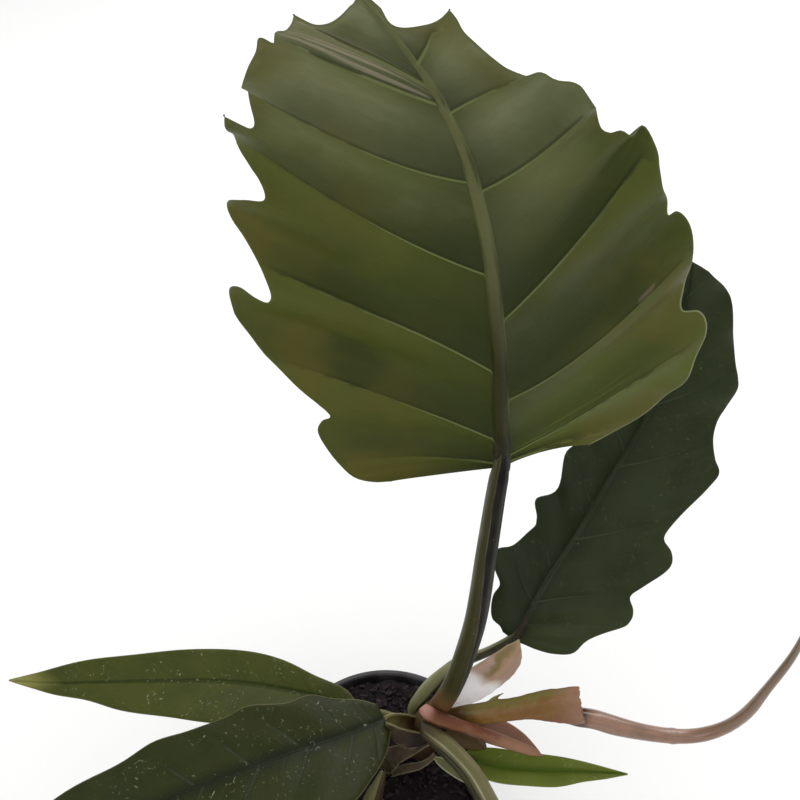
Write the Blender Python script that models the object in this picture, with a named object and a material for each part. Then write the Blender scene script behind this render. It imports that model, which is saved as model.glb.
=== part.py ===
"""Potted philodendron with toothed leaves, as separate solids.

The frame: origin at the centre of the pot's underside, +Z up, the photo was
taken from -Y and 40 degrees up. All sizes below are in millimetres and become
metres when a mesh is made.
"""
import math

import bmesh
import bpy
import numpy as np

MM = 0.001

# Pot: thin black plastic nursery pot.
POT_HEIGHT = 92.0
POT_RIM_DIAMETER = 105.0
POT_RIM_BAND = 6.0
POT_RIM_LIP = 1.8
POT_BASE_DIAMETER = 76.0
POT_WALL = 1.4
POT_FLOOR = 2.0
POT_SIDES = 48
DRAIN_HOLE_DIAMETER = 9.0
DRAIN_HOLE_RADIUS = 24.0
DRAIN_HOLES = 6

# Soil: fills the pot to a little under the rim.
SOIL_LEVEL = 84.0
SOIL_RELIEF = 1.4
SOIL_RISE = 6.0  # heaped towards the back wall
SOIL_CLEARANCE = 0.3

# Stem: short, stands in a plain hole in the soil.
STEM_AXIS = [(17, 12, 75), (18.5, 12, 90), (21, 12, 106), (25, 10, 120)]
STEM_RADII = [8.0, 8.0, 7.4, 6.2]
STEM_HOLE_CLEARANCE = 1.0
STALK_CLEARANCE = 0.3

# Blades: leaves and bracts.
LEAF_THICKNESS = 0.8
BRACT_THICKNESS = 0.8

# Each leaf: midrib points, which way its upper side faces, then the outline of
# each half as (along the midrib, out from it) for every tooth and notch.
LEAF_1 = dict(
    midrib=[(44.3, 5, 296), (38.6, -7.4, 347.4), (31.2, -24.1, 397.2), (18.8, -47.3, 443.2), (1.4, -81.5, 479.2)],
    up=(0, 1, 0.4), roll=[(0, -8), (0.4, -6), (0.75, 8), (1, 18)], fold=(8, 8), curl=(0, 0),
    plus=[(-15, 39), (-15, 49), (-10, 56), (1, 60), (14, 63), (23, 63), (29, 61), (34, 57), (49, 64), (62, 69), (76, 74), (91, 77),
          (96, 75), (90, 66), (95, 63), (105, 64), (121, 69), (126, 68), (132, 63), (132, 56), (140, 56), (147, 58), (162, 53),
          (159, 48), (165, 47), (180, 39), (188, 32), (190, 28), (202, 17), (200, 12), (205, 5)],
    minus=[(-2, 29), (1, 42), (7, 53), (16, 60), (21, 67), (33, 68), (41, 70), (48, 69), (54, 66), (56, 61), (65, 60), (83, 57),
           (93, 56), (99, 54), (102, 50), (116, 45), (127, 43), (139, 39), (147, 35), (146, 30), (163, 28), (166, 26), (165, 21),
           (171, 16), (184, 14), (190, 10), (199, 10), (196, 7), (202, 1)],
    slopes=[(-5, 0.1, -0.2), (-2, 0.22, 0.16), (10, 0.75, 0.85), (50, 1.0, 0.9), (98, 1.3, 0.95), (140, 0.9, 0.9), (170, 0.7, 1.1), (190, 1.2, 2.0), (212, 2.0, 2.4)],
    veins=[-2, 10, 43, 88, 134, 166, 184], quilt=2.2, wave=(2.6, 34),
    rib=[(0, 2.9, 3.4), (0.25, 2.4, 2.8), (0.6, 1.6, 1.7), (1, 0.6, 0.5)], step=7.0)
LEAF_2 = dict(
    midrib=[(67, 48, 126), (83, 66, 154), (97, 80, 169), (110, 93, 188), (126, 106, 216), (138, 116, 250), (140, 118, 284), (136, 112, 313)],
    up=(-0.2, -0.7, 0.7), roll=[(0, -14), (1, -14)], fold=(30, 12), curl=(0, 0),
    plus=[(0, 13), (2, 22), (7, 29), (17, 33), (34, 45), (43, 46), (48, 44), (53, 39), (60, 42), (70, 47), (75, 48), (80, 45), (84, 39),
          (102, 40), (118, 44), (126, 44), (131, 39), (145, 32), (161, 33), (173, 28), (186, 23), (199, 20), (206, 17), (218, 8)],
    minus=[(2, 7), (5, 11), (9, 18), (19, 25), (26, 26), (30, 34), (36, 39), (42, 33), (53, 25), (59, 27), (71, 35), (85, 27),
           (102, 32), (116, 30), (130, 36), (143, 29), (160, 31), (174, 24), (197, 20), (208, 12), (217, 6)],
    slopes=[(-1, 0.45, 0.0), (3, 0.5, 0.35), (12, 0.65, 0.6), (60, 0.8, 0.8), (150, 0.9, 0.9), (200, 1.0, 1.0), (224, 1.4, 1.4)],
    veins=[0, 10, 26, 60, 95, 130, 165, 195], quilt=1.0, wave=(2.4, 36),
    rib=[(0, 2.8, 2.2), (0.5, 1.8, 1.2), (1, 0.8, 0.4)], step=8.5)
LEAF_3 = dict(
    midrib=[(-3, 6, 118), (-24, -5, 122), (-43, -13, 124), (-62, -21, 124), (-80, -27, 122), (-120, -42, 113), (-152, -56, 100), (-176, -70, 86)],
    up=(0, -0.2, 1), roll=[(0, 0), (1, 0)], fold=(8, 8), curl=(0, 0),
    plus=[(-2, 8), (5, 13), (17, 18), (29, 23), (42, 22), (58, 27), (70, 26), (88, 25), (105, 27), (124, 24), (150, 25), (166, 21), (184, 11), (192, 4)],
    minus=[(-4, 6), (4, 16), (16, 25), (29, 33), (46, 32), (60, 35), (78, 32), (95, 33), (114, 28), (132, 28), (150, 22), (168, 17), (184, 8), (192, 3)],
    slopes=[(-3, 0.0, 0.0), (5, 0.5, 0.45), (30, 0.7, 0.7), (150, 0.9, 0.9), (197, 1.4, 1.4)],
    veins=[0, 14, 36, 60, 86, 114, 142, 170], quilt=0.8, wave=(1.6, 40),
    rib=[(0, 2.4, 1.8), (0.5, 1.6, 1.0), (1, 0.8, 0.4)], step=10.0)
LEAF_4 = dict(
    midrib=[(-14, 22, 101), (-36, 27, 106), (-54, 29, 110), (-80, 31, 113), (-106, 31, 114), (-147, 32, 111), (-181, 35, 106), (-199, 39, 102)],
    up=(0, -0.2, 1), roll=[(0, 0), (1, 0)], fold=(12, 12), curl=(0, 0),
    plus=[(10, 8), (26, 10), (42, 14), (60, 16), (86, 16), (113, 14), (140, 12), (161, 8), (176, 4)],
    minus=[(10, 10), (26, 16), (50, 22), (74, 23), (94, 21), (120, 16), (141, 10), (169, 4)],
    slopes=[(0, 0.4, 0.4), (10, 0.9, 0.9), (100, 1.1, 1.1), (189, 1.8, 1.8)],
    veins=[0, 24, 48, 72, 96, 120, 150], quilt=0.4, wave=(0.6, 50),
    rib=[(0, 2.0, 1.6), (0.5, 1.4, 0.9), (1, 0.7, 0.4)], step=14.0)
LEAF_5 = dict(
    midrib=[(40, 0, 97), (52, -6, 99), (66, -9.5, 101), (85, -10.5, 101.5), (103, -10.5, 100), (119, -10, 97)],
    up=(0, -0.2, 1), roll=[(0, 0), (1, 0)], fold=(12, 12), curl=(0, 0),
    plus=[(6, 6), (15, 8), (30, 8.5), (45, 8), (58, 5.5), (70, 3)],
    minus=[(6, 6), (15, 8), (30, 8), (46, 6.5), (62, 4), (72, 2)],
    slopes=[(0, 0.4, 0.4), (8, 0.9, 0.9), (81, 1.6, 1.6)],
    veins=[0, 14, 28, 42, 58], quilt=0.25, wave=(0.5, 30),
    rib=[(0, 1.6, 1.2), (0.5, 1.1, 0.7), (1, 0.6, 0.3)], step=9.0)
LEAF_6 = dict(
    midrib=[(58, -96, 152), (59, -116, 158), (61, -140, 160), (63, -166, 154), (65, -190, 140), (66, -208, 122)],
    up=(0, -0.3, 1), roll=[(0, 0), (1, 0)], fold=(10, 10), curl=(0, 0),
    plus=[(-5, 14), (4, 25), (20, 34), (30, 31), (48, 37), (58, 33), (76, 34), (86, 28), (102, 24), (112, 16), (122, 7)],
    minus=[(-5, 13), (3, 24), (17, 33), (27, 31), (44, 38), (55, 34), (72, 36), (83, 29), (99, 25), (110, 17), (122, 7)],
    slopes=[(-3, -0.1, -0.1), (5, 0.5, 0.5), (30, 0.75, 0.75), (100, 0.9, 0.9), (130, 1.6, 1.6)],
    veins=[0, 12, 30, 50, 72, 94, 112], quilt=0.9, wave=(1.8, 36),
    rib=[(0, 2.8, 2.2), (0.5, 1.8, 1.2), (1, 0.8, 0.4)], step=9.0)

# Each stalk: axis points, radii along it, number of sides.
PETIOLE_1 = dict(axis=[(24.2, 10.2, 118.5), (26.2, 9.4, 125), (29.1, 8.6, 134), (33.8, 7.4, 154), (37, 6.5, 174.5), (39.8, 5.4, 198.5), (41, 4.6, 221.5), (41.6, 4.0, 242),
                       (42.4, 3.4, 264), (43, 2.9, 280), (43.5, 2.6, 289.4)], radii=[5.2, 5.1, 4.95, 4.9, 4.88, 4.85, 4.8, 4.7, 4.6, 4.45, 4.3, 3.95, 3.6], sides=10)
PETIOLE_2 = dict(axis=[(18, 14, 99), (14.0, 18, 106), (17.0, 19, 117), (22.4, 20, 126.8), (29.4, 22.4, 133.6), (36.4, 27, 135.6), (47, 34, 132),
                       (56, 40.6, 128.4), (63.1, 45.8, 126.7)], radii=[2.4, 2.7, 3.2, 3.6, 3.6, 3.1, 2.6, 2.5, 2.9], sides=8)
PETIOLE_3 = dict(axis=[(2.4, 5.6, 117.1), (6, 6, 115.8), (11, 7, 112), (18, 9.5, 105)], radii=[2.4, 2.8, 3.2], sides=8)
PETIOLE_4 = dict(axis=[(-13.2, 21.9, 99.8), (-2, 21.5, 99), (8, 18, 96.5), (18, 12, 92)], radii=[2.0, 2.2, 2.5], sides=8)
PETIOLE_5 = dict(axis=[(37.6, 1.0, 96), (31, 5, 94.5), (22, 10, 92)], radii=[1.8, 2.0, 2.3], sides=8)
PETIOLE_6 = dict(axis=[(19.5, 8, 113.6), (20.4, 2.0, 117.0), (24.4, -3.2, 119.2), (33, -12, 119.8), (40, -22, 121.6), (45, -34, 125), (50, -50, 131),
                       (54, -70, 141), (57.55, -92.5, 149.8)], radii=[2.6, 4.1, 4.3, 4.25, 4.2, 4.1, 4.0, 3.6, 3.2], sides=12)
SPEAR = dict(axis=[(80, 7.0, 127.4), (87, 5.2, 126.6), (93.3, 3.5, 126.2), (98.6, 2.5, 126.5), (108, 0.6, 124.8), (116, -0.8, 123.2), (131, -2, 120), (149, -3, 120.6),
                   (161, -4, 130), (168, -4, 143), (172, -4, 161), (177, -3, 183), (178, -2, 207), (176, -1, 222)],
             radii=[4.0, 4.6, 4.6, 3.9, 3.5, 3.3, 2.8, 2.6, 2.05, 1.9, 1.6, 1.1, 0.4], sides=8)
STUB = dict(axis=[(-7, -21, 80), (-6, -19, 88), (-3, -16, 98), (-1, -14, 105)], radii=[5.0, 5.0, 3.6, 2.0], sides=10)

# Each bract: a small blade. The midrib runs along its outer face.
STRAP_FRONT = dict(
    midrib=[(18.8, 3.6, 135.4), (21.4, 1.0, 133.6), (28.5, -0.9, 130.0), (39, -2.2, 125.0), (50, -3.0, 119.4), (62, -3.9, 113.6), (77, -5, 105.4)],
    up=(0, -0.6, 0.8), roll=[(0, 0), (1, 0)], fold=(0, 0), curl=(-70, -70), half=4.0,
    plus=[(0, 5.5), (7, 6.2), (16, 4.4), (40, 3.6), (60, 2.4)], minus=[(1, 3.0), (8, 4.0), (40, 3.6), (60, 2.4)], step=9.0)
STRAP_BACK = dict(
    midrib=[(43, 6.8, 110.2), (56, 7.6, 107.6), (68, 6, 101), (78, 3.6, 92.5)],
    up=(0, -0.6, 0.8), roll=[(0, 0), (1, 0)], fold=(0, 0), curl=(-40, -40), half=5.0,
    plus=[(1, 3.4), (14, 5.0), (28, 3.2)], minus=[(1, 3.4), (14, 5.0), (28, 3.2)], step=8.0)
TORN_SHEATH = dict(
    midrib=[(30.6, 6.2, 117.4), (47, 4.6, 122.4), (65, 3, 127.8), (82, 1.4, 136.8), (92, 0, 141.8)],
    up=(0, -0.85, 0.5), roll=[(0, 0), (1, 0)], fold=(0, 0), curl=(-100, -40), half=13.0,
    plus=[(2, 6), (12, 4.2), (22, 2.6), (30, 2.0), (38, 2.2), (44, 4), (50, 7.5), (56, 11), (61, 13), (65, 12)],
    minus=[(2, 6), (12, 7.4), (20, 8.2), (27, 12.5), (30, 9.2), (48, 10.2), (58, 9.5), (64, 9.4), (66, 8.6)], step=9.0)
BOAT_BRACT = dict(
    midrib=[(30.4, 12.4, 117.2), (45, 16.5, 129), (55, 19, 141), (61.6, 22, 152), (64, 24.2, 159)],
    up=(0.3, -0.8, 0.3), roll=[(0, 0), (1, 0)], fold=(-14, -14), curl=(-20, -7), half=9.0,
    plus=[(-2, 4.5), (8, 8), (15, 11.6), (22, 14.2), (32, 14.8), (40, 12), (46, 7.6), (50, 3.6)], minus=[(1, 4.4), (16, 9.8), (25, 10.4), (36, 8.8), (44, 7), (50, 4)], step=7.0)
OLIVE_BRACT = dict(
    midrib=[(29.5, 3.8, 109.6), (38, 2.2, 106.5), (50, 0.6, 102.1)],
    up=(0, -0.7, 0.7), roll=[(0, 0), (1, 0)], fold=(0, 0), curl=(-60, -60), half=5.0,
    plus=[(1, 3.6), (8, 4.6), (17, 3.0)], minus=[(1, 3.6), (8, 4.6), (17, 3.0)], step=6.0)
CURLED_SHEATH = dict(
    midrib=[(-0.5, 10.0, 113.2), (4, 11.3, 113.8), (9.5, 11.7, 111.9)],
    up=(0, -0.5, 0.9), roll=[(0, 0), (1, 0)], fold=(0, 0), curl=(70, 40), half=3.6,
    plus=[(1, 2.6), (5, 3.2)], minus=[(1, 1.2), (5, 1.4)], step=4.0)
DRIED_SHEATH_1 = dict(
    midrib=[(23.6, 4.2, 103.6), (19.5, 1.6, 103.6), (13.6, -1.4, 102.2), (8, -2.4, 99.6), (3, -3.4, 95.4), (-0.4, -4.4, 90.0)],
    up=(0, -0.4, 0.9), roll=[(0, 0), (1, 0)], fold=(0, 0), curl=(-40, -15), half=5.0,
    plus=[(1, 1.2), (9, 1.6), (14, 3.4), (19, 5.6), (24, 6.6), (29, 5.6)], minus=[(1, 1.8), (10, 1.6), (18, 2.4), (24, 3.3), (29, 3.2)], step=5.0)
DRIED_SHEATH_2 = dict(
    midrib=[(25, -0.4, 98.0), (21, -3.0, 95.8), (16.5, -4.3, 94.7), (11.6, -4.8, 93.5), (7.4, -5.2, 91.8), (4, -5.8, 89.2)],
    up=(0, -0.4, 0.9), roll=[(0, 0), (1, 0)], fold=(0, 0), curl=(-40, -40), half=5.0,
    plus=[(1, 1.3), (8, 1.5), (16, 2.0), (21, 1.6)], minus=[(1, 1.3), (7, 1.4), (12, 2.2), (19, 2.2), (23, 1.4)], step=5.0)
PETIOLE_SHEATH = dict(
    midrib=[(26, -7, 107), (32.5, -13, 109.6), (38.5, -20, 113.2), (43, -28, 117.8)],
    up=(-0.3, -0.3, 0.9), roll=[(0, 0), (1, 0)], fold=(0, 0), curl=(30, 30), half=4.0,
    plus=[(1, 2.0), (9, 3.0), (18, 2.6)], minus=[(1, 1.8), (9, 2.6), (18, 2.2)], step=6.0)

COLOURS = {
    "pot": (0.012, 0.011, 0.011), "soil": (0.012, 0.008, 0.009), "stem": (0.10, 0.10, 0.05),
    "leaf": (0.045, 0.07, 0.022), "leaf_light": (0.10, 0.13, 0.03), "petiole": (0.12, 0.12, 0.06),
    "pink": (0.30, 0.13, 0.09), "pale": (0.50, 0.36, 0.28), "olive": (0.18, 0.14, 0.06), "dried": (0.16, 0.11, 0.09),
}


class Curve:
    """Natural cubic curve through a few points, measured by its chords."""

    def __init__(self, points):
        p = np.array(points, float)
        h = np.linalg.norm(np.diff(p, axis=0), axis=1)
        n = len(p)
        a, b = np.eye(n), np.zeros((n, 3))
        for i in range(1, n - 1):
            a[i, i - 1:i + 2] = h[i - 1], 2 * (h[i - 1] + h[i]), h[i]
            b[i] = 6 * ((p[i + 1] - p[i]) / h[i] - (p[i] - p[i - 1]) / h[i - 1])
        self.p, self.h, self.m = p, h, np.linalg.solve(a, b)
        self.d = np.concatenate([[0.0], np.cumsum(h)])
        self.length = float(self.d[-1])

    def at(self, s):
        """Point and unit tangent at s; straight on past either end."""
        s = np.asarray(s, float)
        c = np.clip(s, 0, self.length)
        i = np.clip(np.searchsorted(self.d, c, side="right") - 1, 0, len(self.h) - 1)
        h = self.h[i][..., None]
        a, b = (self.d[i + 1] - c)[..., None], (c - self.d[i])[..., None]
        m0, m1, p0, p1 = self.m[i], self.m[i + 1], self.p[i], self.p[i + 1]
        point = m0 * a ** 3 / (6 * h) + m1 * b ** 3 / (6 * h) + (p0 / h - m0 * h / 6) * a + (p1 / h - m1 * h / 6) * b
        tangent = -m0 * a ** 2 / (2 * h) + m1 * b ** 2 / (2 * h) - (p0 / h - m0 * h / 6) + (p1 / h - m1 * h / 6)
        tangent /= np.linalg.norm(tangent, axis=-1, keepdims=True)
        return point + (s - c)[..., None] * tangent, tangent


def solid(name, vertices, triangles, material):
    """One closed mesh from points in millimetres."""
    mesh = bpy.data.meshes.new(name)
    mesh.from_pydata([tuple(v * MM) for v in np.asarray(vertices, float)], [], [tuple(int(i) for i in t) for t in triangles])
    bm = bmesh.new()
    bm.from_mesh(mesh)
    bmesh.ops.recalc_face_normals(bm, faces=bm.faces)
    bm.to_mesh(mesh)
    bm.free()
    mesh.shade_smooth()
    mesh.set_sharp_from_angle(angle=math.radians(35))
    obj = bpy.data.objects.new(name, mesh)
    bpy.context.scene.collection.objects.link(obj)
    obj.data.materials.append(material)
    return obj


def surface(curve, up, roll, fold, curl, half, s, x):
    """A point of a folded and curled blade: s along the midrib, x out from it."""
    m, t = curve.at(s)
    up = np.array(up, float)
    n = up - (t @ up)[..., None] * t
    n /= np.linalg.norm(n, axis=-1, keepdims=True)
    side = np.cross(t, n)
    r = np.radians(np.interp(np.clip(s / curve.length, 0, 1), [q[0] for q in roll], [q[1] for q in roll]))[..., None]
    side, n = side * np.cos(r) + n * np.sin(r), n * np.cos(r) - side * np.sin(r)
    k = (x > 0).astype(int)
    w = np.abs(x)
    f = np.radians(np.array(fold, float))[k]
    c = np.radians(np.array(curl, float))[k] / half
    c = np.where(np.abs(c) < 1e-6, 1e-6, c)
    across = (np.sin(f + c * w) - np.sin(f)) / c
    lift = -(np.cos(f + c * w) - np.cos(f)) / c
    return m + side * (np.sign(x) * across)[..., None] + n * lift[..., None]


def stations(marks, slopes, side, length):
    """Where on the midrib the side vein of each outline mark starts."""
    t = np.linspace(slopes[0][0], length, 4000)
    slope = np.interp(t, [q[0] for q in slopes], [q[1 + side] for q in slopes])
    out = []
    for s, w in marks:
        out.append(t[np.argmin(np.abs(t + slope * w - s))])
    return np.maximum.accumulate(np.array(out) + np.arange(len(out)) * 1e-3)


def blade(name, shape, thickness, material):
    """A leaf or bract. Its rows follow the side veins, out to the teeth and notches of the outline."""
    curve = Curve(shape["midrib"])
    length = curve.length
    slopes = shape.get("slopes", [(0, 0.0, 0.0), (length, 0.0, 0.0)])
    slope_t, slope_v = [q[0] for q in slopes], [[q[1] for q in slopes], [q[2] for q in slopes]]
    first = slopes[0][0]
    reach = []
    for k, side in enumerate(("minus", "plus")):
        t = stations(shape[side], slopes, k, length)
        w = np.array([q[1] for q in shape[side]], float)
        reach.append((np.concatenate([[first], t, [length]]), np.concatenate([[w[0]], w, [0.7]])))
    veins = shape.get("veins", [])
    wanted = list(reach[0][0]) + list(reach[1][0]) + list(veins)
    wanted += [(a + b) / 2 for a, b in zip(veins, veins[1:])]
    wanted += list(np.linspace(first, length, max(2, int(length / shape["step"]))))
    rows = [first]
    for t in sorted(wanted):
        apart = abs(t - rows[-1]) + 20 * sum(abs(np.interp(t, slope_t, v) - np.interp(rows[-1], slope_t, v)) for v in slope_v)
        if t > rows[-1] and apart > 0.34 * shape["step"] and length - t > 1.5:
            rows.append(t)
    rows = np.array(rows + [length])
    rib = shape.get("rib")
    fractions = [0.36, 0.64, 0.85, 1.0] if rib else [0.34, 0.7, 1.0]
    s_grid, x_grid, f_grid = [], [], []
    for t in rows:
        line = []
        for sign, (rt, rw) in zip((-1, 1), reach):
            far = np.interp(t, rt, rw)
            out = []
            if rib:
                out.append(min(np.interp(t / length, [q[0] for q in rib], [q[1] for q in rib]), 0.2 * far))
            out += [q * far for q in fractions]
            line.append([(sign * w, w / far) for w in out])
        cells = line[0][::-1] + [(0.0, 0.0)] + line[1]
        slope = [np.interp(t, slope_t, v) for v in slope_v]
        s_grid.append([t + slope[int(x > 0)] * abs(x) for x, f in cells])
        x_grid.append([x for x, f in cells])
        f_grid.append([f for x, f in cells])
    s, x, f = np.array(s_grid), np.array(x_grid), np.array(f_grid)
    point = surface(curve, shape["up"], shape["roll"], shape["fold"], shape["curl"], shape.get("half", 80.0), s, x)
    du, dv = np.gradient(point, axis=0), np.gradient(point, axis=1)
    normal = np.cross(dv, du)
    normal /= np.linalg.norm(normal, axis=-1, keepdims=True)
    lift = np.zeros_like(s)
    if veins:
        phase = np.interp(rows, list(veins) + [length], range(len(veins) + 1))[:, None]
        lift += shape["quilt"] * (0.5 - 0.5 * np.cos(2 * np.pi * phase)) * np.sqrt(np.clip(4 * f * (1 - f), 0, 1))
        high, long = shape["wave"]
        lift -= high * f ** 2 * np.sin(2 * np.pi * rows[:, None] / long + np.where(x > 0, 0.0, 1.7)) * np.clip((length - s) / 30, 0, 1)
    point = point + normal * lift[..., None]
    du, dv = np.gradient(point, axis=0), np.gradient(point, axis=1)
    normal = np.cross(dv, du)
    normal /= np.linalg.norm(normal, axis=-1, keepdims=True)
    top = point + normal * thickness / 2
    bottom = point - normal * thickness / 2
    if rib:
        middle = x.shape[1] // 2
        deep = np.interp(rows / length, [q[0] for q in rib], [q[2] for q in rib])
        bottom[:, middle] -= normal[:, middle] * deep[:, None]
    n, m = s.shape
    vertices = np.concatenate([top.reshape(-1, 3), bottom.reshape(-1, 3)])
    triangles = []
    for i in range(n - 1):
        for j in range(m - 1):
            a, b, c, d = i * m + j, i * m + j + 1, (i + 1) * m + j + 1, (i + 1) * m + j
            for o in (0, n * m):
                triangles += [(a + o, b + o, c + o), (a + o, c + o, d + o)] if j >= m // 2 else [(a + o, b + o, d + o), (b + o, c + o, d + o)]
    edge = [j for j in range(m)] + [i * m + m - 1 for i in range(1, n)] + [(n - 1) * m + j for j in range(m - 2, -1, -1)] + [i * m for i in range(n - 2, 0, -1)]
    for a, b in zip(edge, edge[1:] + edge[:1]):
        triangles += [(a, b, b + n * m), (a, b + n * m, a + n * m)]
    return solid(name, vertices, triangles, material)


def stalk(name, shape, material, grow=0.0, rings=None):
    """A round stalk along a curve, with flat ends."""
    curve = Curve(shape["axis"])
    sides = shape["sides"]
    count = rings or max(4, int(curve.length / 9) + 1)
    s = np.linspace(-grow, curve.length + grow, count)
    centre, tangent = curve.at(s)
    radii = np.interp(s / curve.length, np.linspace(0, 1, len(shape["radii"])), shape["radii"]) + grow
    side = np.array([1.0, 0.0, 0.0]) if abs(tangent[0][0]) < 0.8 else np.array([0.0, 1.0, 0.0])
    vertices = []
    for c, t, r in zip(centre, tangent, radii):
        side = side - (side @ t) * t
        side /= np.linalg.norm(side)
        other = np.cross(t, side)
        for k in range(sides):
            a = 2 * math.pi * k / sides
            vertices.append(c + r * (math.cos(a) * side + math.sin(a) * other))
    triangles = []
    for i in range(count - 1):
        for k in range(sides):
            a, b = i * sides + k, i * sides + (k + 1) % sides
            triangles += [(a, b, b + sides), (a, b + sides, a + sides)]
    last = (count - 1) * sides
    for k in range(1, sides - 1):
        triangles += [(0, k + 1, k), (last, last + k, last + k + 1)]
    return solid(name, vertices, triangles, material)


def cut(body, cutter):
    """Take one closed mesh out of another and drop the cutter."""
    cutter.hide_render = True
    cutter.display_type = "WIRE"
    modifier = body.modifiers.new("cut", "BOOLEAN")
    modifier.operation = "DIFFERENCE"
    modifier.solver = "EXACT"
    modifier.object = cutter
    bpy.context.view_layer.objects.active = body
    bpy.ops.object.modifier_apply(modifier=modifier.name)
    bpy.data.objects.remove(cutter)


def turned(name, profile, sides, material):
    """A closed profile of (radius, height) turned about Z; radius 0 is a point on the axis."""
    vertices, rings = [], []
    for r, z in profile:
        if r == 0:
            rings.append([len(vertices)] * sides)
            vertices.append((0, 0, z))
        else:
            rings.append([len(vertices) + k for k in range(sides)])
            for k in range(sides):
                a = 2 * math.pi * k / sides
                vertices.append((r * math.cos(a), r * math.sin(a), z))
    triangles = []
    for ring, after in zip(rings, rings[1:]):
        for k in range(sides):
            a, b, c, d = ring[k], ring[(k + 1) % sides], after[(k + 1) % sides], after[k]
            if a != b:
                triangles.append((a, b, c))
            if c != d:
                triangles.append((a, c, d))
    return solid(name, vertices, triangles, material)


def paint(name):
    material = bpy.data.materials.new(name)
    material.use_nodes = True
    shader = material.node_tree.nodes["Principled BSDF"]
    shader.inputs["Base Color"].default_value = (*COLOURS[name], 1.0)
    shader.inputs["Roughness"].default_value = 0.5
    return material


for old in list(bpy.data.objects):
    bpy.data.objects.remove(old)
PAINT = {name: paint(name) for name in COLOURS}

# The pot: outside up to the rim, over it, and down the inside to the axis.
rim, base, wall = POT_RIM_DIAMETER / 2, POT_BASE_DIAMETER / 2, POT_WALL
under_rim = POT_HEIGHT - POT_RIM_BAND
body_top = rim - POT_RIM_LIP - 0.6
inner_top, inner_base = body_top - wall, base - wall
pot = turned("pot", [(0, 0), (base - 2.5, 0), (base, 1.5), (body_top, under_rim - 0.8), (rim - 0.4, under_rim), (rim, under_rim + 1.0), (rim, POT_HEIGHT - 1.2),
                     (rim - 1.0, POT_HEIGHT), (inner_top + 0.7, POT_HEIGHT), (inner_top, POT_HEIGHT - 1.0), (inner_base, POT_FLOOR), (0, POT_FLOOR)], POT_SIDES, PAINT["pot"])
for k in range(DRAIN_HOLES):
    a = 2 * math.pi * (k + 0.38) / DRAIN_HOLES
    x, y = DRAIN_HOLE_RADIUS * math.cos(a), DRAIN_HOLE_RADIUS * math.sin(a)
    hole = dict(axis=[(x, y, -3), (x, y, 1), (x, y, POT_FLOOR + 3)], radii=[DRAIN_HOLE_DIAMETER / 2] * 2, sides=16)
    cut(pot, stalk("drain", hole, PAINT["pot"], rings=2))


def soil_body():
    """The soil: a tapered plug with a lumpy top."""
    sides, rings = 40, 11

    def inside(z):
        return inner_base + (inner_top - inner_base) * (z - POT_FLOOR) / (POT_HEIGHT - 1.0 - POT_FLOOR) - SOIL_CLEARANCE

    edge = inside(SOIL_LEVEL) - 0.15
    vertices = [(0, 0, SOIL_LEVEL + SOIL_RELIEF * 0.4)]
    for i in range(1, rings + 1):
        r = edge * i / rings
        for k in range(sides):
            a = 2 * math.pi * (k + 0.5 * (i % 2)) / sides
            x, y = r * math.cos(a), r * math.sin(a)
            lump = math.sin(0.31 * x + 0.7) * math.cos(0.27 * y - 0.4) + 0.6 * math.sin(0.61 * x - 0.53 * y + 1.9) + 0.5 * math.cos(0.93 * x + 0.71 * y)
            rise = min(max((y - 14) / 30, 0), 1)
            z = SOIL_LEVEL + SOIL_RISE * rise * rise * (3 - 2 * rise) + SOIL_RELIEF * 0.5 * lump * (1.0 if i < rings else 0.3)
            if i == rings:
                x, y = x * (inside(z) - 0.15) / edge, y * (inside(z) - 0.15) / edge
            vertices.append((x, y, z))
    triangles = [(0, 1 + k, 1 + (k + 1) % sides) for k in range(sides)]
    for i in range(rings - 1):
        for k in range(sides):
            a, b = 1 + i * sides + k, 1 + i * sides + (k + 1) % sides
            c, d = a + sides, b + sides
            if i % 2 == 0:
                triangles += [(a, c, d), (a, d, b)]
            else:
                triangles += [(a, c, b), (b, c, d)]
    low = POT_FLOOR + SOIL_CLEARANCE
    start = len(vertices)
    turn = 0.5 * (rings % 2)
    for k in range(sides):
        a = 2 * math.pi * (k + turn) / sides
        r = inside(low) - 0.15
        vertices.append((r * math.cos(a), r * math.sin(a), low))
    vertices.append((0, 0, low))
    outer = 1 + (rings - 1) * sides
    for k in range(sides):
        a, b, c, d = outer + k, outer + (k + 1) % sides, start + (k + 1) % sides, start + k
        triangles += [(a, d, c), (a, c, b), (d, start + sides, c)]
    return solid("soil", vertices, triangles, PAINT["soil"])


soil = soil_body()
stem_shape = dict(axis=STEM_AXIS, radii=STEM_RADII, sides=14)
stub_shape = STUB
for shape in (stem_shape, stub_shape):
    x, y, z = shape["axis"][0]
    x2, y2, z2 = shape["axis"][1]
    k = (100 - z) / (z2 - z)
    wide = max(shape["radii"]) + 1.6
    well = dict(axis=[(x, y, z - STEM_HOLE_CLEARANCE), (x + (x2 - x) * k, y + (y2 - y) * k, 100)], radii=[wide, wide], sides=20)
    cut(soil, stalk("well", well, PAINT["soil"], rings=2))

stalk("stem", stem_shape, PAINT["stem"], rings=9)
stalk("stub", stub_shape, PAINT["petiole"], rings=6)
for name, shape in (("petiole_1", PETIOLE_1), ("petiole_2", PETIOLE_2), ("petiole_3", PETIOLE_3), ("petiole_4", PETIOLE_4), ("petiole_5", PETIOLE_5), ("petiole_6", PETIOLE_6)):
    body = stalk(name, shape, PAINT["petiole"])
    cut(body, stalk("stem_room", stem_shape, PAINT["stem"], grow=STALK_CLEARANCE, rings=9))
    if name == "petiole_6":
        cut(body, stalk("petiole_room", PETIOLE_1, PAINT["stem"], grow=STALK_CLEARANCE))
stalk("rolled_leaf", SPEAR, PAINT["pink"], rings=26)

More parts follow.
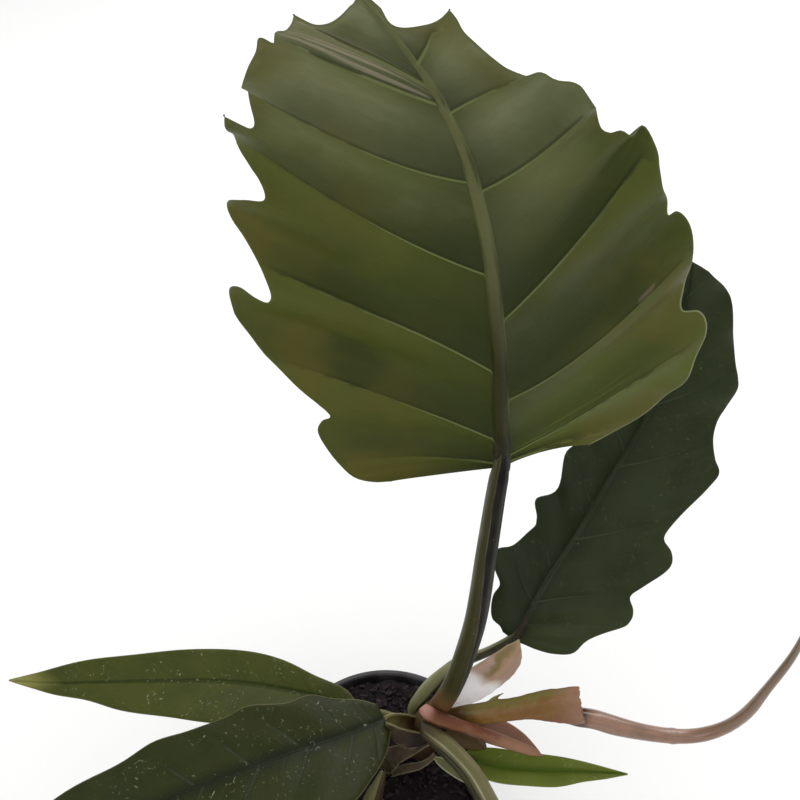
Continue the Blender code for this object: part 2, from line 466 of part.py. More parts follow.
for name, shape, colour in (("leaf_1", LEAF_1, "leaf"), ("leaf_2", LEAF_2, "leaf"), ("leaf_3", LEAF_3, "leaf"), ("leaf_4", LEAF_4, "leaf_light"),
                            ("leaf_5", LEAF_5, "leaf_light"), ("leaf_6", LEAF_6, "leaf")):
    blade(name, shape, LEAF_THICKNESS, PAINT[colour])
for name, shape, colour in (("strap_front", STRAP_FRONT, "pink"), ("strap_back", STRAP_BACK, "pink"), ("torn_sheath", TORN_SHEATH, "olive"),
                            ("boat_bract", BOAT_BRACT, "pale"), ("olive_bract", OLIVE_BRACT, "olive"), ("petiole_sheath", PETIOLE_SHEATH, "petiole"), ("curled_sheath", CURLED_SHEATH, "olive"),
                            ("dried_sheath_1", DRIED_SHEATH_1, "dried"), ("dried_sheath_2", DRIED_SHEATH_2, "dried")):
    body = blade(name, shape, BRACT_THICKNESS, PAINT[colour])
    if name.startswith("dried") or name in ("torn_sheath", "boat_bract"):
        cut(body, stalk("stem_room", stem_shape, PAINT["stem"], grow=STALK_CLEARANCE, rings=9))
        cut(body, stalk("petiole_room", PETIOLE_1, PAINT["stem"], grow=STALK_CLEARANCE))
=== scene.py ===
"""Potted philodendron: the pot, soil, stalks, leaves and bracts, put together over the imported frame.

Lengths in the sections are millimetres, as measured on the plant, and become
metres when a mesh is made. Colours are red, green and blue as seen, 0 to 255.
The viewer stands at -Y and looks 40 degrees down.
"""
import math

import bpy
import numpy as np
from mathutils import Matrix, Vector, geometry, noise


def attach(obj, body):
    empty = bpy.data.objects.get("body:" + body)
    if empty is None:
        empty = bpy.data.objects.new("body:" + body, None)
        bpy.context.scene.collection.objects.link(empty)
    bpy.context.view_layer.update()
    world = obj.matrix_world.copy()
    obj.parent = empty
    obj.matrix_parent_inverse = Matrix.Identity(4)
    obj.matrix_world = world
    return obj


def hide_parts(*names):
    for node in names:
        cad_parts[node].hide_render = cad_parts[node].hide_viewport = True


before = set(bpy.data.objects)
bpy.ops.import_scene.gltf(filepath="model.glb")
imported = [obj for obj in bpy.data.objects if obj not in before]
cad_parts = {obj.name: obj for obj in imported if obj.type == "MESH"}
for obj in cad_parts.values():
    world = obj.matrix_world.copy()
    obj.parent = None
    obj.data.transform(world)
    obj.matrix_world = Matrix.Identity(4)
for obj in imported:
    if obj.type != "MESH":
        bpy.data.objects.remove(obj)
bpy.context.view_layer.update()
bpy.ops.object.select_all(action="DESELECT")

# The studio. A pale paper floor, a broad soft light high behind the plant, a
# weaker one in front, and white walls all round, so that the thin leaves glow
# a little from behind as they do at a window.
PAPER_COLOUR = (0.93, 0.93, 0.925, 1.0)
VIEWER_PLACE, VIEWER_TILT = (0.0075, -0.230, 0.521), 50

paper = bpy.data.materials.new("floor_paper")
paper.use_nodes = True
nodes, links = paper.node_tree.nodes, paper.node_tree.links
grain, ramp = nodes.new("ShaderNodeTexNoise"), nodes.new("ShaderNodeMapRange")
grain.inputs["Scale"].default_value = 40.0
ramp.inputs["To Min"].default_value = 0.86
ramp.inputs["To Max"].default_value = 0.92
links.new(grain.outputs["Fac"], ramp.inputs["Value"])
links.new(ramp.outputs["Result"], nodes["Principled BSDF"].inputs["Roughness"])
nodes["Principled BSDF"].inputs["Base Color"].default_value = PAPER_COLOUR
bpy.ops.mesh.primitive_plane_add(size=8.0, location=(0, 0, 0))
floor = bpy.context.object
floor.name = "floor"
floor.data.materials.append(paper)


def soft_light(name, size, power, place, aim):
    """A square panel of light at a place, turned towards a point."""
    bpy.ops.object.light_add(type="AREA", location=place)
    light = bpy.context.object
    light.name = name
    light.data.shape = "SQUARE"
    light.data.size = size
    light.data.energy = power
    light.rotation_euler = (Vector(aim) - Vector(place)).to_track_quat("-Z", "Y").to_euler()


soft_light("window_light", size=1.6, power=26.0, place=(0.7, 1.3, 1.9), aim=(0.0, 0.0, 0.25))
soft_light("front_light", size=1.6, power=7.0, place=(-1.0, -1.4, 1.5), aim=(0.0, 0.0, 0.2))
world = bpy.data.worlds.new("white_room")
bpy.context.scene.world = world
world.use_nodes = True
world.node_tree.nodes["Background"].inputs["Color"].default_value = (1.0, 1.0, 1.0, 1.0)
world.node_tree.nodes["Background"].inputs["Strength"].default_value = 0.75
bpy.context.scene.view_settings.view_transform = "Standard"

bpy.ops.object.camera_add(location=VIEWER_PLACE, rotation=(math.radians(VIEWER_TILT), 0, 0))
camera = bpy.context.object
camera.name = "camera"
camera.data.sensor_width = 36.0
camera.data.lens = 40.5
camera.data.clip_start = 0.01
bpy.context.scene.camera = camera

# The pot: a thin black nursery pot, blown from plastic sheet, with a stiff
# rim band, two shallow rings under it and drain holes round the floor.
MM = 0.001
BLACK, WHITE = (0, 0, 0), (255, 255, 255)
POT_PROFILE = [(35, 0), (37.4, 0.5), (38, 2), (38.4, 4.4), (37.9, 5), (38.1, 5.8), (40.2, 16), (47.6, 74),
               (48.4, 76.2), (48.5, 78), (48.3, 80), (49.2, 82), (49.5, 84), (49.9, 85.2), (51.9, 85.8),
               (52.3, 86.6), (52.4, 90.6), (52.1, 91.6), (51.2, 92), (50, 91.8), (49.2, 91), (48.6, 88), (48.1, 84),
               (36.6, 2.4), (34, 2)]
ROUND_STEPS = 120
DRAIN_HOLE_DIAMETER, DRAIN_HOLE_RADIUS, DRAIN_HOLES, FIRST_HOLE = 9.0, 24.0, 6, 0.38


def seen(colour):
    """A colour as it looks, 0 to 255, in the shader's linear terms."""
    c = np.array(colour) / 255
    return np.where(c < 0.04045, c / 12.92, ((c + 0.055) / 1.055) ** 2.4)


def wire(tree, socket, value):
    """Join a socket to what another node puts out, or give it a plain value. A plain colour is one as seen,
    or an array where it is linear already."""
    if isinstance(value, Value):
        tree.links.new(value.socket, socket)
    elif socket.type == "RGBA":
        socket.default_value = (*(seen(value) if isinstance(value, tuple) else value), 1.0)
    else:
        socket.default_value = value


class Value:
    """What a node puts out. A sum written with it lays down the nodes that do the sum."""

    def __init__(self, nodes, socket):
        self.nodes, self.socket = nodes, socket

    def __add__(self, other):
        return self.nodes.math("ADD", self, other)

    def __sub__(self, other):
        return self.nodes.math("SUBTRACT", self, other)

    def __rsub__(self, other):
        return self.nodes.math("SUBTRACT", other, self)

    def __mul__(self, other):
        return self.nodes.math("MULTIPLY", self, other)

    def __rtruediv__(self, other):
        return self.nodes.math("DIVIDE", other, self)

    def __abs__(self):
        return self.nodes.math("ABSOLUTE", self)

    def __lt__(self, other):
        return self.nodes.math("LESS_THAN", self, other)

    def also(self, out):
        """Something else that the same node puts out."""
        return Value(self.nodes, self.socket.node.outputs[out])

    def fade(self, low, high, start=0.0, end=1.0):
        """A soft step from start to end while the value goes from low to high."""
        return self.nodes.add("MapRange", "Result", {"interpolation_type": "SMOOTHSTEP"}, Value=self,
                              From_Min=low, From_Max=high, To_Min=start, To_Max=end)


class Nodes:
    """The shader nodes of a material or of an effect, laid down one by one."""

    def __init__(self, tree):
        self.tree = tree

    def add(self, kind, out=0, settings=None, **inputs):
        """A node with its settings and its inputs, whose names have _ for each space."""
        node = self.tree.nodes.new("ShaderNode" + kind)
        for key, value in (settings or {}).items():
            setattr(node, key, value)
        for key, value in inputs.items():
            wire(self.tree, node.inputs[key.replace("_", " ")], value)
        return Value(self, node.outputs[out])

    def math(self, operation, *terms, kind="ShaderNodeMath"):
        """A sum, with numbers or with vectors."""
        node = self.tree.nodes.new(kind)
        node.operation = operation
        for socket, term in zip(node.inputs, terms):
            wire(self.tree, socket, term)
        return Value(self, node.outputs[0])

    def mix(self, amount, first, second):
        """The second colour over the first."""
        node = self.tree.nodes.new("ShaderNodeMix")
        node.data_type = "RGBA"
        for number, value in ((0, amount), (6, first), (7, second)):
            wire(self.tree, node.inputs[number], value)
        return Value(self, node.outputs[2])

    def in_mm(self):
        """Object coordinates in millimetres."""
        return self.add("Mapping", Vector=self.add("TexCoord", "Object"), Scale=(1 / MM, 1 / MM, 1 / MM))

    def kept(self, word):
        """A number kept at each point of the mesh."""
        return self.add("Attribute", "Fac", {"attribute_name": word})

    def noise(self, at, scale=1.0, detail=2.0, out="Fac"):
        """Soft noise at a place."""
        return self.add("TexNoise", out, Vector=at, Scale=scale, Detail=detail)

    def lines(self, x, y, z=0.0, detail=4.0):
        """Noise drawn out into lines by the scales of its three directions."""
        return self.noise(self.add("CombineXYZ", X=x, Y=y, Z=z), detail=detail)

    def place(self, effect, out=0, **values):
        """An effect with its own values."""
        return self.add("Group", out, {"node_tree": effect.tree}, **values)


class Skin(Nodes):
    """A material. Its colour is laid on coat by coat."""

    def __init__(self, name):
        self.material = bpy.data.materials.new(name)
        self.material.use_nodes = True
        super().__init__(self.material.node_tree)
        self.colour = BLACK

    def coat(self, amount, colour):
        """A colour over those that are there."""
        self.colour = self.mix(amount, self.colour, colour)

    def finish(self, rough, height=None, depth=0.2, glow=None, let_through=0.0, **plain):
        """Colour, roughness and a height in millimetres into one shader, with a share of light let through."""
        shader = self.tree.nodes["Principled BSDF"]
        wire(self.tree, shader.inputs["Base Color"], self.colour)
        wire(self.tree, shader.inputs["Roughness"], rough)
        for key, value in plain.items():
            shader.inputs[key.replace("_", " ")].default_value = value
        if height is not None:
            bump = self.add("Bump", "Normal", Distance=depth * MM, Height=height)
            wire(self.tree, shader.inputs["Normal"], bump)
        if glow is not None:
            through = self.add("BsdfTranslucent", Color=glow)
            both = self.tree.nodes.new("ShaderNodeMixShader")
            both.inputs[0].default_value = let_through
            self.tree.links.new(shader.outputs[0], both.inputs[1])
            self.tree.links.new(through.socket, both.inputs[2])
            self.tree.links.new(both.outputs[0], self.tree.nodes["Material Output"].inputs["Surface"])
        return self.material


class Effect(Nodes):
    """A group of nodes with named number inputs and outputs, placed in each material with its own values."""

    def __init__(self, name, outputs, **inputs):
        super().__init__(bpy.data.node_groups.new(name, "ShaderNodeTree"))
        face = self.tree.interface
        for word, start in inputs.items():
            socket = face.new_socket(word.replace("_", " "), in_out="INPUT", socket_type="NodeSocketFloat")
            socket.default_value = start
        for word in outputs:
            face.new_socket(word, in_out="OUTPUT", socket_type="NodeSocketFloat")
        self.asked, self.answer = (self.tree.nodes.new(kind) for kind in ("NodeGroupInput", "NodeGroupOutput"))

    def ask(self, word):
        return Value(self, self.asked.outputs[word])

    def give(self, word, value):
        wire(self.tree, self.answer.inputs[word], value)


# Clouding: soft patches, Size across in millimetres, from 0 to 1.
clouding = Effect("clouding", ["Amount"], Size=10.0, Sharp=0.3)
squeeze = clouding.ask("Sharp") * 0.2
patches = clouding.noise(clouding.in_mm(), 1.0 / clouding.ask("Size"), detail=3.0)
clouding.give("Amount", patches.fade(squeeze + 0.3, 0.7 - squeeze))

# Specks: dust, spots and flecks. Spacing in millimetres, Size as a share of it.
specks = Effect("specks", ["Mask"], Spacing=3.0, Size=0.2, Share=0.4)
wobble = specks.noise(specks.in_mm(), 0.9, out="Color")
bent = specks.math("MULTIPLY_ADD", wobble, (1.6, 1.6, 1.6), specks.in_mm(), kind="ShaderNodeVectorMath")
cells = specks.add("TexVoronoi", "Distance", Vector=bent, Scale=1.0 / specks.ask("Spacing"))
chosen = specks.add("SeparateColor", "Red", Color=cells.also("Color")) < specks.ask("Share")
specks.give("Mask", cells.fade(specks.ask("Size") * 0.5, specks.ask("Size"), 1.0, 0.0) * chosen)


def pick(*objects):
    """Select these objects and no others. The first is the active one."""
    bpy.ops.object.select_all(action="DESELECT")
    for obj in objects:
        obj.select_set(True)
    bpy.context.view_layer.objects.active = objects[0]


bpy.ops.mesh.primitive_circle_add(vertices=ROUND_STEPS, radius=POT_PROFILE[0][0] * MM, fill_type="NGON")
pot = bpy.context.object
pot.name = "nursery_pot"
bpy.ops.object.mode_set(mode="EDIT")
bpy.ops.mesh.select_all(action="SELECT")
for (r0, z0), (r1, z1) in zip(POT_PROFILE, POT_PROFILE[1:]):
    bpy.ops.mesh.extrude_region_move(TRANSFORM_OT_translate={"value": (0, 0, (z1 - z0) * MM)})
    bpy.ops.transform.resize(value=(r1 / r0, r1 / r0, 1), center_override=(0, 0, z1 * MM))
bpy.ops.mesh.select_all(action="SELECT")
bpy.ops.mesh.normals_make_consistent(inside=False)
bpy.ops.object.mode_set(mode="OBJECT")
for k in range(DRAIN_HOLES):
    a = 2 * math.pi * (k + FIRST_HOLE) / DRAIN_HOLES
    centre = (DRAIN_HOLE_RADIUS * MM * math.cos(a), DRAIN_HOLE_RADIUS * MM * math.sin(a), 0)
    bpy.ops.mesh.primitive_cylinder_add(vertices=32, radius=DRAIN_HOLE_DIAMETER / 2 * MM, depth=12 * MM,
                                        location=centre)
    drill = bpy.context.object
    hole = pot.modifiers.new("drain", "BOOLEAN")
    hole.operation = "DIFFERENCE"
    hole.solver = "EXACT"
    hole.object = drill
    pick(pot)
    bpy.ops.object.modifier_apply(modifier=hole.name)
    bpy.data.objects.remove(drill)
pick(pot)
bpy.ops.object.shade_smooth_by_angle(angle=math.radians(32))

black_plastic = Skin("black_plastic")
scuffs = black_plastic.place(clouding, Size=9.0, Sharp=0.5)
grit = black_plastic.place(specks, Spacing=2.6, Size=0.16, Share=0.25)
black_plastic.colour = black_plastic.mix(scuffs, (40, 38, 40), (58, 55, 57))
black_plastic.coat(grit * 0.5, (112, 98, 88))
orange_peel = black_plastic.noise(black_plastic.in_mm(), 1.4)
pot.data.materials.append(black_plastic.finish(scuffs.fade(0.0, 1.0, 0.34, 0.56), orange_peel, 0.05))
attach(pot, "root")
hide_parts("pot")

# The soil: a dark damp mix of peat and composted bark, pressed in by hand to a
# little under the rim. Broken chips of bark lie in and on it, wet side up.
SOIL_LEVEL, SOIL_HEAP, SOIL_RIM_RADIUS, SOIL_FLOOR_RADIUS, SOIL_BOTTOM = 84.0, 6.0, 47.3, 36.4, 2.4
SOIL_CORE, SOIL_RINGS = 0.4, 46
BARK_CHIPS, CHIP_SPREAD, CHIP_LIMIT, CHIP_TILT = 560, 46.0, 47.6, math.radians(60)


def keep(mesh, numbers):
    """Keep named numbers at the points of a mesh."""
    for word, each in numbers.items():
        mesh.attributes.new(word, "FLOAT", "POINT").data.foreach_set("value", each.astype(np.float32).ravel())


def wrap(name, rings, numbers=None):
    """Lay a grid primitive over rings of points in millimetres, and close it round and over its two ends.
    The numbers are kept at its points."""
    rows, around = rings.shape[:2]
    bpy.ops.object.select_all(action="DESELECT")
    bpy.ops.mesh.primitive_grid_add(x_subdivisions=around, y_subdivisions=rows - 1, size=1, location=(0, 0, 0))
    obj = bpy.context.object
    obj.name = name
    obj.data.name = name
    points = np.concatenate([rings, rings[:, :1]], axis=1)
    obj.data.vertices.foreach_set("co", (points * MM).astype(np.float32).ravel())
    keep(obj.data, {word: np.concatenate([each, each[:, :1]], axis=1) for word, each in (numbers or {}).items()})
    bpy.ops.object.mode_set(mode="EDIT")
    bpy.ops.mesh.select_all(action="SELECT")
    bpy.ops.mesh.remove_doubles(threshold=1e-6)
    bpy.ops.mesh.select_all(action="DESELECT")
    bpy.ops.mesh.select_mode(type="EDGE")
    bpy.ops.mesh.select_non_manifold()
    bpy.ops.mesh.fill_holes(sides=0)
    bpy.ops.mesh.select_mode(type="VERT")
    bpy.ops.mesh.select_all(action="SELECT")
    bpy.ops.mesh.normals_make_consistent(inside=False)
    bpy.ops.object.mode_set(mode="OBJECT")
    bpy.ops.object.shade_smooth()
    return obj


def soil_top(x, y):
    """Height of the soil. It is lumpy, heaped up towards the back wall and a little sunk along the rim."""
    rise = min(max((y - 14) / 30, 0), 1)
    heap = SOIL_HEAP * rise * rise * (3 - 2 * rise)
    sunk = 1.4 * max(0.0, (math.hypot(x, y) - 40) / 7.3) ** 2
    ripple = math.sin(0.31 * x + 0.7) * math.cos(0.27 * y - 0.4) + 0.6 * math.sin(0.61 * x - 0.53 * y + 1.9)
    ripple += 0.5 * math.cos(0.93 * x + 0.71 * y)
    crumbs = noise.noise(Vector((x * 0.22, y * 0.22, 3.0))) + 0.9 * noise.noise(Vector((x * 0.55, y * 0.55, 7.0)))
    return SOIL_LEVEL - sunk + heap + 0.7 * ripple + crumbs


turns = np.linspace(0, 2 * np.pi, ROUND_STEPS, endpoint=False)
rings = []
for r, z in ((SOIL_CORE, SOIL_BOTTOM), (SOIL_FLOOR_RADIUS * 0.6, SOIL_BOTTOM), (SOIL_FLOOR_RADIUS, SOIL_BOTTOM),
             (SOIL_RIM_RADIUS - 0.2, SOIL_LEVEL - 4)):
    rings.append([(r * math.cos(a), r * math.sin(a), z) for a in turns])
for r in np.linspace(SOIL_RIM_RADIUS, SOIL_CORE, SOIL_RINGS):
    ring = [(r * math.cos(a), r * math.sin(a)) for a in turns]
    rings.append([(x, y, soil_top(x, y)) for x, y in ring])
soil = wrap("soil_mix", np.array(rings))

bpy.ops.mesh.primitive_cube_add(size=1, location=(0, 0, 0))
chip = bpy.context.object
chip.name = "bark_chip"
bpy.ops.object.mode_set(mode="EDIT")
bpy.ops.mesh.subdivide(number_cuts=1)
bpy.ops.mesh.bevel(offset=0.12, segments=1)
bpy.ops.object.mode_set(mode="OBJECT")
block = np.array([v.co[:] for v in chip.data.vertices])
draw = np.random.default_rng(41)
chips = []
for k in range(BARK_CHIPS):
    out = CHIP_SPREAD * math.sqrt(draw.random())
    turn = draw.random() * 2 * math.pi
    x, y = out * math.cos(turn), out * math.sin(turn)
    long = 1.6 + 3.6 * draw.random() ** 2
    size = np.array([long, long * (0.35 + 0.4 * draw.random()), 0.7 + 0.9 * draw.random()])
    corners = block * size
    corners *= 1 + 0.30 * (draw.random(corners.shape) - 0.5)
    tilt, spin = CHIP_TILT * (draw.random() - 0.5) * 2 * draw.random(), draw.random() * 2 * math.pi
    ct, st, cs, ss = math.cos(tilt), math.sin(tilt), math.cos(spin), math.sin(spin)
    tilted = corners @ np.array([[1, 0, 0], [0, ct, st], [0, -st, ct]])
    turned = tilted @ np.array([[cs, ss, 0], [-ss, cs, 0], [0, 0, 1]])
    turned += (x, y, soil_top(x, y) + 0.1 + 0.25 * size[2])
    if (np.hypot(turned[:, 0], turned[:, 1]) > CHIP_LIMIT).any():
        continue
    own = chip.data.copy()
    own.vertices.foreach_set("co", (turned * MM).ravel())
    copy = bpy.data.objects.new("bark_%03d" % k, own)
    bpy.context.scene.collection.objects.link(copy)
    chips.append(copy)
pick(*chips)
bpy.ops.object.join()
bark = bpy.context.object
bark.name = "bark_chips"
bpy.ops.object.shade_smooth_by_angle(angle=math.radians(30))
bpy.data.objects.remove(chip)


def earth(name, dark, light, fleck, share):
    """Damp earth: dark, a little purple, with crumbs and paler fibres."""
    skin = Skin(name)
    crumbs = skin.place(clouding, Size=2.4, Sharp=0.8)
    skin.colour = skin.mix(crumbs, dark, light)
    skin.coat(skin.place(specks, Spacing=1.5, Size=0.34, Share=share) * 0.75, fleck)
    rough = skin.noise(skin.in_mm(), 1.1, detail=6.0)
    return skin.finish(crumbs.fade(0.0, 1.0, 0.55, 0.85), rough, 0.9, Specular_IOR_Level=0.2)


soil.data.materials.append(earth("damp_soil", (10, 3, 6), (22, 13, 16), (44, 32, 34), 0.1))
bark.data.materials.append(earth("wet_bark", (18, 9, 13), (50, 38, 41), (100, 86, 90), 0.2))
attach(soil, "root")
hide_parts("soil")
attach(bark, "root")

# The stem: a short fleshy cane in the middle of the soil, ringed where old
# leaves were. It grew up and a little to the right, and is mostly hidden.
STEM_AXIS = [(17, 12, 75), (18.5, 12, 90), (21, 12, 106), (25, 10, 120)]
STEM_RINGS = (9, 17, 24, 33, 41)
TO_VIEWER = np.array([0, -0.77, 0.64])
ROUND_END = (0.0, 0.3, 0.6, 0.85)


class Path:
    """A smooth line through a few points, measured in millimetres along its chords."""

    def __init__(self, points):
        p = np.array(points, float)
        h = np.linalg.norm(np.diff(p, axis=0), axis=1)
        n = len(p)
        a, b = np.eye(n), np.zeros((n, 3))
        for i in range(1, n - 1):
            a[i, i - 1:i + 2] = h[i - 1], 2 * (h[i - 1] + h[i]), h[i]
            b[i] = 6 * ((p[i + 1] - p[i]) / h[i] - (p[i] - p[i - 1]) / h[i - 1])
        self.p, self.h, self.m = p, h, np.linalg.solve(a, b)
        self.d = np.concatenate([[0.0], np.cumsum(h)])
        self.length = float(self.d[-1])

    def at(self, s):
        """The point and direction at s, straight on past either end."""
        s = np.asarray(s, float)
        c = np.clip(s, 0, self.length)
        i = np.clip(np.searchsorted(self.d, c, side="right") - 1, 0, len(self.h) - 1)
        h = self.h[i][..., None]
        a, b = (self.d[i + 1] - c)[..., None], (c - self.d[i])[..., None]
        m0, m1 = self.m[i], self.m[i + 1]
        from_first, from_next = self.p[i] / h - m0 * h / 6, self.p[i + 1] / h - m1 * h / 6
        point = m0 * a ** 3 / (6 * h) + m1 * b ** 3 / (6 * h) + from_first * a + from_next * b
        way = -m0 * a ** 2 / (2 * h) + m1 * b ** 2 / (2 * h) - from_first + from_next
        way /= np.linalg.norm(way, axis=-1, keepdims=True)
        return point + (s - c)[..., None] * way, way


def read(marks, at, column=1):
    """A number read off marks (place, number, ...), evenly between them."""
    return np.interp(at, [mark[0] for mark in marks], [mark[column] for mark in marks])


def stalk(name, axis, radii, around=36, step=1.6, form=None, split=((0, 0.0), (1, 0.0))):
    """A round stalk. form(angle, along) is its thickness round and along it. Angle 0 faces the viewer and grows
    to the right. split is how far to the right the line between its two colours lies, from -1 to 1, at lengths
    along it."""
    path = Path(axis)
    s = np.linspace(0, path.length, max(8, int(path.length / step)))
    radius = np.interp(s / path.length, np.linspace(0, 1, len(radii)), radii)
    # Both ends are rounded over a short way.
    swell = np.array([math.sqrt(1 - (1 - e) ** 2) if e else 0.12 for e in ROUND_END])
    reach = 0.6 * (1 - np.array(ROUND_END))
    s = np.concatenate([-reach * radius[0], s, path.length + reach[::-1] * radius[-1]])
    radius = np.concatenate([swell * radius[0], radius, swell[::-1] * radius[-1]])
    centre, way = path.at(s)
    out = TO_VIEWER - (way @ TO_VIEWER)[:, None] * way
    out /= np.linalg.norm(out, axis=1, keepdims=True)
    right = np.cross(way, out)
    angle, along = np.meshgrid(np.linspace(-np.pi, np.pi, around, endpoint=False), s)
    thick = radius[:, None] * (form(angle, along) if form else 1.0)
    rings = centre[:, None] + np.broadcast_to(thick, angle.shape)[..., None] * (
        out[:, None] * np.cos(angle)[..., None] + right[:, None] * np.sin(angle)[..., None])
    numbers = {"along": along, "side": np.sin(angle), "front": np.cos(angle), "split": read(split, along)}
    return wrap(name, rings, numbers)


def dip(value, centre, width):
    """A soft bump of height 1 around a centre."""
    return np.exp(-((value - centre) / width) ** 2)


def ringed(angle, along):
    """Round, with the scars of old leaves."""
    return 1 + 0.05 * sum(dip(along, ring, 0.7) for ring in STEM_RINGS) + 0.02 * np.cos(3 * angle + along * 0.2)


def stalk_skin(name, left, right, base, soft=0.18, base_length=14.0, dust=0.25, ridge=0.0, ridge_colour=None,
               left_edge=None, crest_highlight=None, sheen=0.25):
    """Skin of a stalk: one colour to the left, one to the right, a third near its foot, and a thin line where the
    two meet, light on the first leaf stalk as a painted highlight and dark on the channelled stalk as painted
    shade in its groove. The optional highlight along the top is painted light, a light line with glints."""
    skin = Skin(name)
    along, side = skin.kept("along"), skin.kept("side")
    lines = skin.lines(along * 0.06, side * 5.0, skin.kept("front") * 5.0)
    patch = skin.place(clouding, Size=14.0, Sharp=0.4)
    past = side - skin.kept("split")
    skin.colour = skin.mix(past.fade(-soft, soft), left, right)
    if left_edge:
        skin.coat(side.fade(-0.95, -0.55, 0.75, 0.0), left_edge)
    # Painted highlight: a light line broken into glints along the top of the stalk.
    if crest_highlight:
        skin.coat(abs(side + 0.12).fade(0.03, 0.2, 1.0, 0.0) * lines.fade(0.3, 0.6, 0.35, 1.0), crest_highlight)
    skin.coat(patch * 0.3, 0.6 * seen(left) + 0.4 * seen(right))
    skin.coat(lines.fade(0.4, 0.7) * 0.3, 0.55 * seen(left) + 0.55 * seen(right))
    skin.coat(along.fade(base_length * 0.3, base_length, 1.0, 0.0), base)
    # A thin painted line along the seam: a painted highlight on the first leaf stalk, painted shade in the groove of
    # the channelled stalk.
    if ridge:
        skin.coat(abs(past).fade(0.02, 0.09, 1.0, 0.0) * ridge * lines.fade(0.35, 0.6), ridge_colour)
    skin.coat(skin.place(specks, Spacing=2.2, Size=0.12, Share=0.3) * dust, (170, 168, 150))
    return skin.finish(lines.fade(0.2, 0.8, 0.36, 0.52), lines, 0.12, Specular_IOR_Level=sheen)


stem = stalk("stem_cane", STEM_AXIS, [8.0, 8.0, 7.4, 6.2], form=ringed)
stem.data.materials.append(stalk_skin("cane_skin", (84, 70, 44), (74, 52, 38), (44, 30, 20), soft=0.6, sheen=0.12))
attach(stem, "root")
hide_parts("stem")

# The stub: what is left of an older leaf stalk, cut short. It stands in the
# soil in front, green on the left and already brown and dry on the right.
def flattened(angle, along):
    """Flatter towards its end, with a groove to the right of the middle."""
    return 1 - 0.12 * np.abs(np.sin(angle)) * (along / 26) - 0.16 * dip(np.abs(angle), 0.25, 0.16) * (angle > 0)


stub = stalk(
    "stalk_stub", [(-7, -21, 80), (-6, -19, 88), (-3, -16, 98), (-1, -14, 105)], [5, 5, 3.6, 2], form=flattened,
    split=((0, 0.3), (12, 0.15), (26, -0.1)))
stub.data.materials.append(stalk_skin(
    "stub_skin", (116, 112, 74), (62, 46, 30), (76, 74, 44), soft=0.08, base_length=6, dust=0.1, ridge=0.9,
    ridge_colour=(44, 34, 26)))
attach(stub, "root")
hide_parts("stub")

# The leaf stalks: long, smooth and fleshy. The light side is olive, the other
# is flushed purple-brown, and each one clasps the stem with a pinkish foot.
def keeled(angle, along):
    """Round, with a shallow furrow where the two colours meet."""
    return 1 - 0.07 * dip(angle, 0.12, 0.13) + 0.03 * dip(angle, 0.42, 0.16)


def channelled(angle, along):
    """Broader than it is high, with one sharp ridge along its top and a groove to the right of it."""
    broad = 0.16 * np.sin(angle) ** 2 - 0.10 * np.cos(angle) ** 2
    cut = 0.15 * dip(angle, -0.12, 0.16) - 0.14 * dip(angle, 0.34, 0.15) + 0.07 * dip(angle, 0.72, 0.14)
    return 1 + np.clip((along - 4) / 14, 0, 1) * (broad + cut - 0.08 * dip(angle, -0.62, 0.2))


petiole_1 = stalk(
    "leaf_stalk_1",
    [(24.2, 10.2, 118.5), (26.2, 9.4, 125), (29.1, 8.6, 134), (33.8, 7.4, 154), (37, 6.5, 174.5),
     (39.8, 5.4, 198.5), (41, 4.6, 221.5), (41.6, 4, 242), (42.4, 3.4, 264), (43, 2.9, 280), (43.5, 2.6, 289.4),
     (44, 3.2, 296), (43.6, 1.9, 304), (42.8, -0.3, 313)],
    [5.2, 5, 4.9, 4.86, 4.86, 4.83, 4.8, 4.72, 4.65, 4.5, 4.35, 4.18, 4, 3.8, 3.6, 2.3, 1], form=keeled,
    split=((0, 0.85), (23, 0.7), (50, 0.46), (83, 0.22), (112, -0.06), (137, -0.2), (172, -0.26), (200, -0.4)))
# The light line along its keel is a painted highlight.
petiole_1.data.materials.append(stalk_skin(
    "two_tone_skin", (58, 56, 28), (10, 5, 5), (102, 72, 46), soft=0.05, base_length=34, ridge=0.5,
    ridge_colour=(104, 96, 82), left_edge=(88, 88, 62), sheen=0.12))
petiole_2 = stalk(
    "leaf_stalk_2",
    [(18, 14, 99), (14, 18, 106), (17, 19, 117), (22.4, 20, 126.8), (29.4, 22.4, 133.6), (36.4, 27, 135.6),
     (47, 34, 132), (56, 40.6, 128.4), (62.6, 45.4, 126.8), (67.2, 48.6, 127.4), (71.5, 53.2, 132.6),
     (77, 60.4, 142)],
    [2.4, 2.6, 2.9, 3.4, 3.6, 3.4, 2.9, 2.5, 2.4, 2.5, 2.6, 2.2, 0.8], form=keeled,
    split=((0, 0.9), (30, 0.7), (46, -0.1), (60, -0.7), (110, -1.2)))
petiole_2.data.materials.append(stalk_skin(
    "grey_green_skin", (118, 118, 82), (32, 26, 16), (134, 122, 88), soft=0.25, base_length=18,
    left_edge=(138, 138, 108), sheen=0.15))
petiole_4 = stalk(
    "leaf_stalk_4", [(-20, 23, 101.5), (-13.2, 21.9, 99.8), (-2, 21.5, 99), (8, 18, 96.5), (18, 12, 92)],
    [1, 2, 2.2, 2.5])
petiole_5 = stalk(
    "leaf_stalk_5", [(44, -2.4, 97.4), (37.6, 1, 96), (31, 5, 94.5), (22, 10, 92)], [0.9, 1.8, 2, 2.3])
for piece in (petiole_4, petiole_5):
    piece.data.materials.append(stalk_skin(
        "%s_skin" % piece.name, (96, 92, 52), (82, 74, 44), (92, 86, 52), soft=0.5, base_length=4))
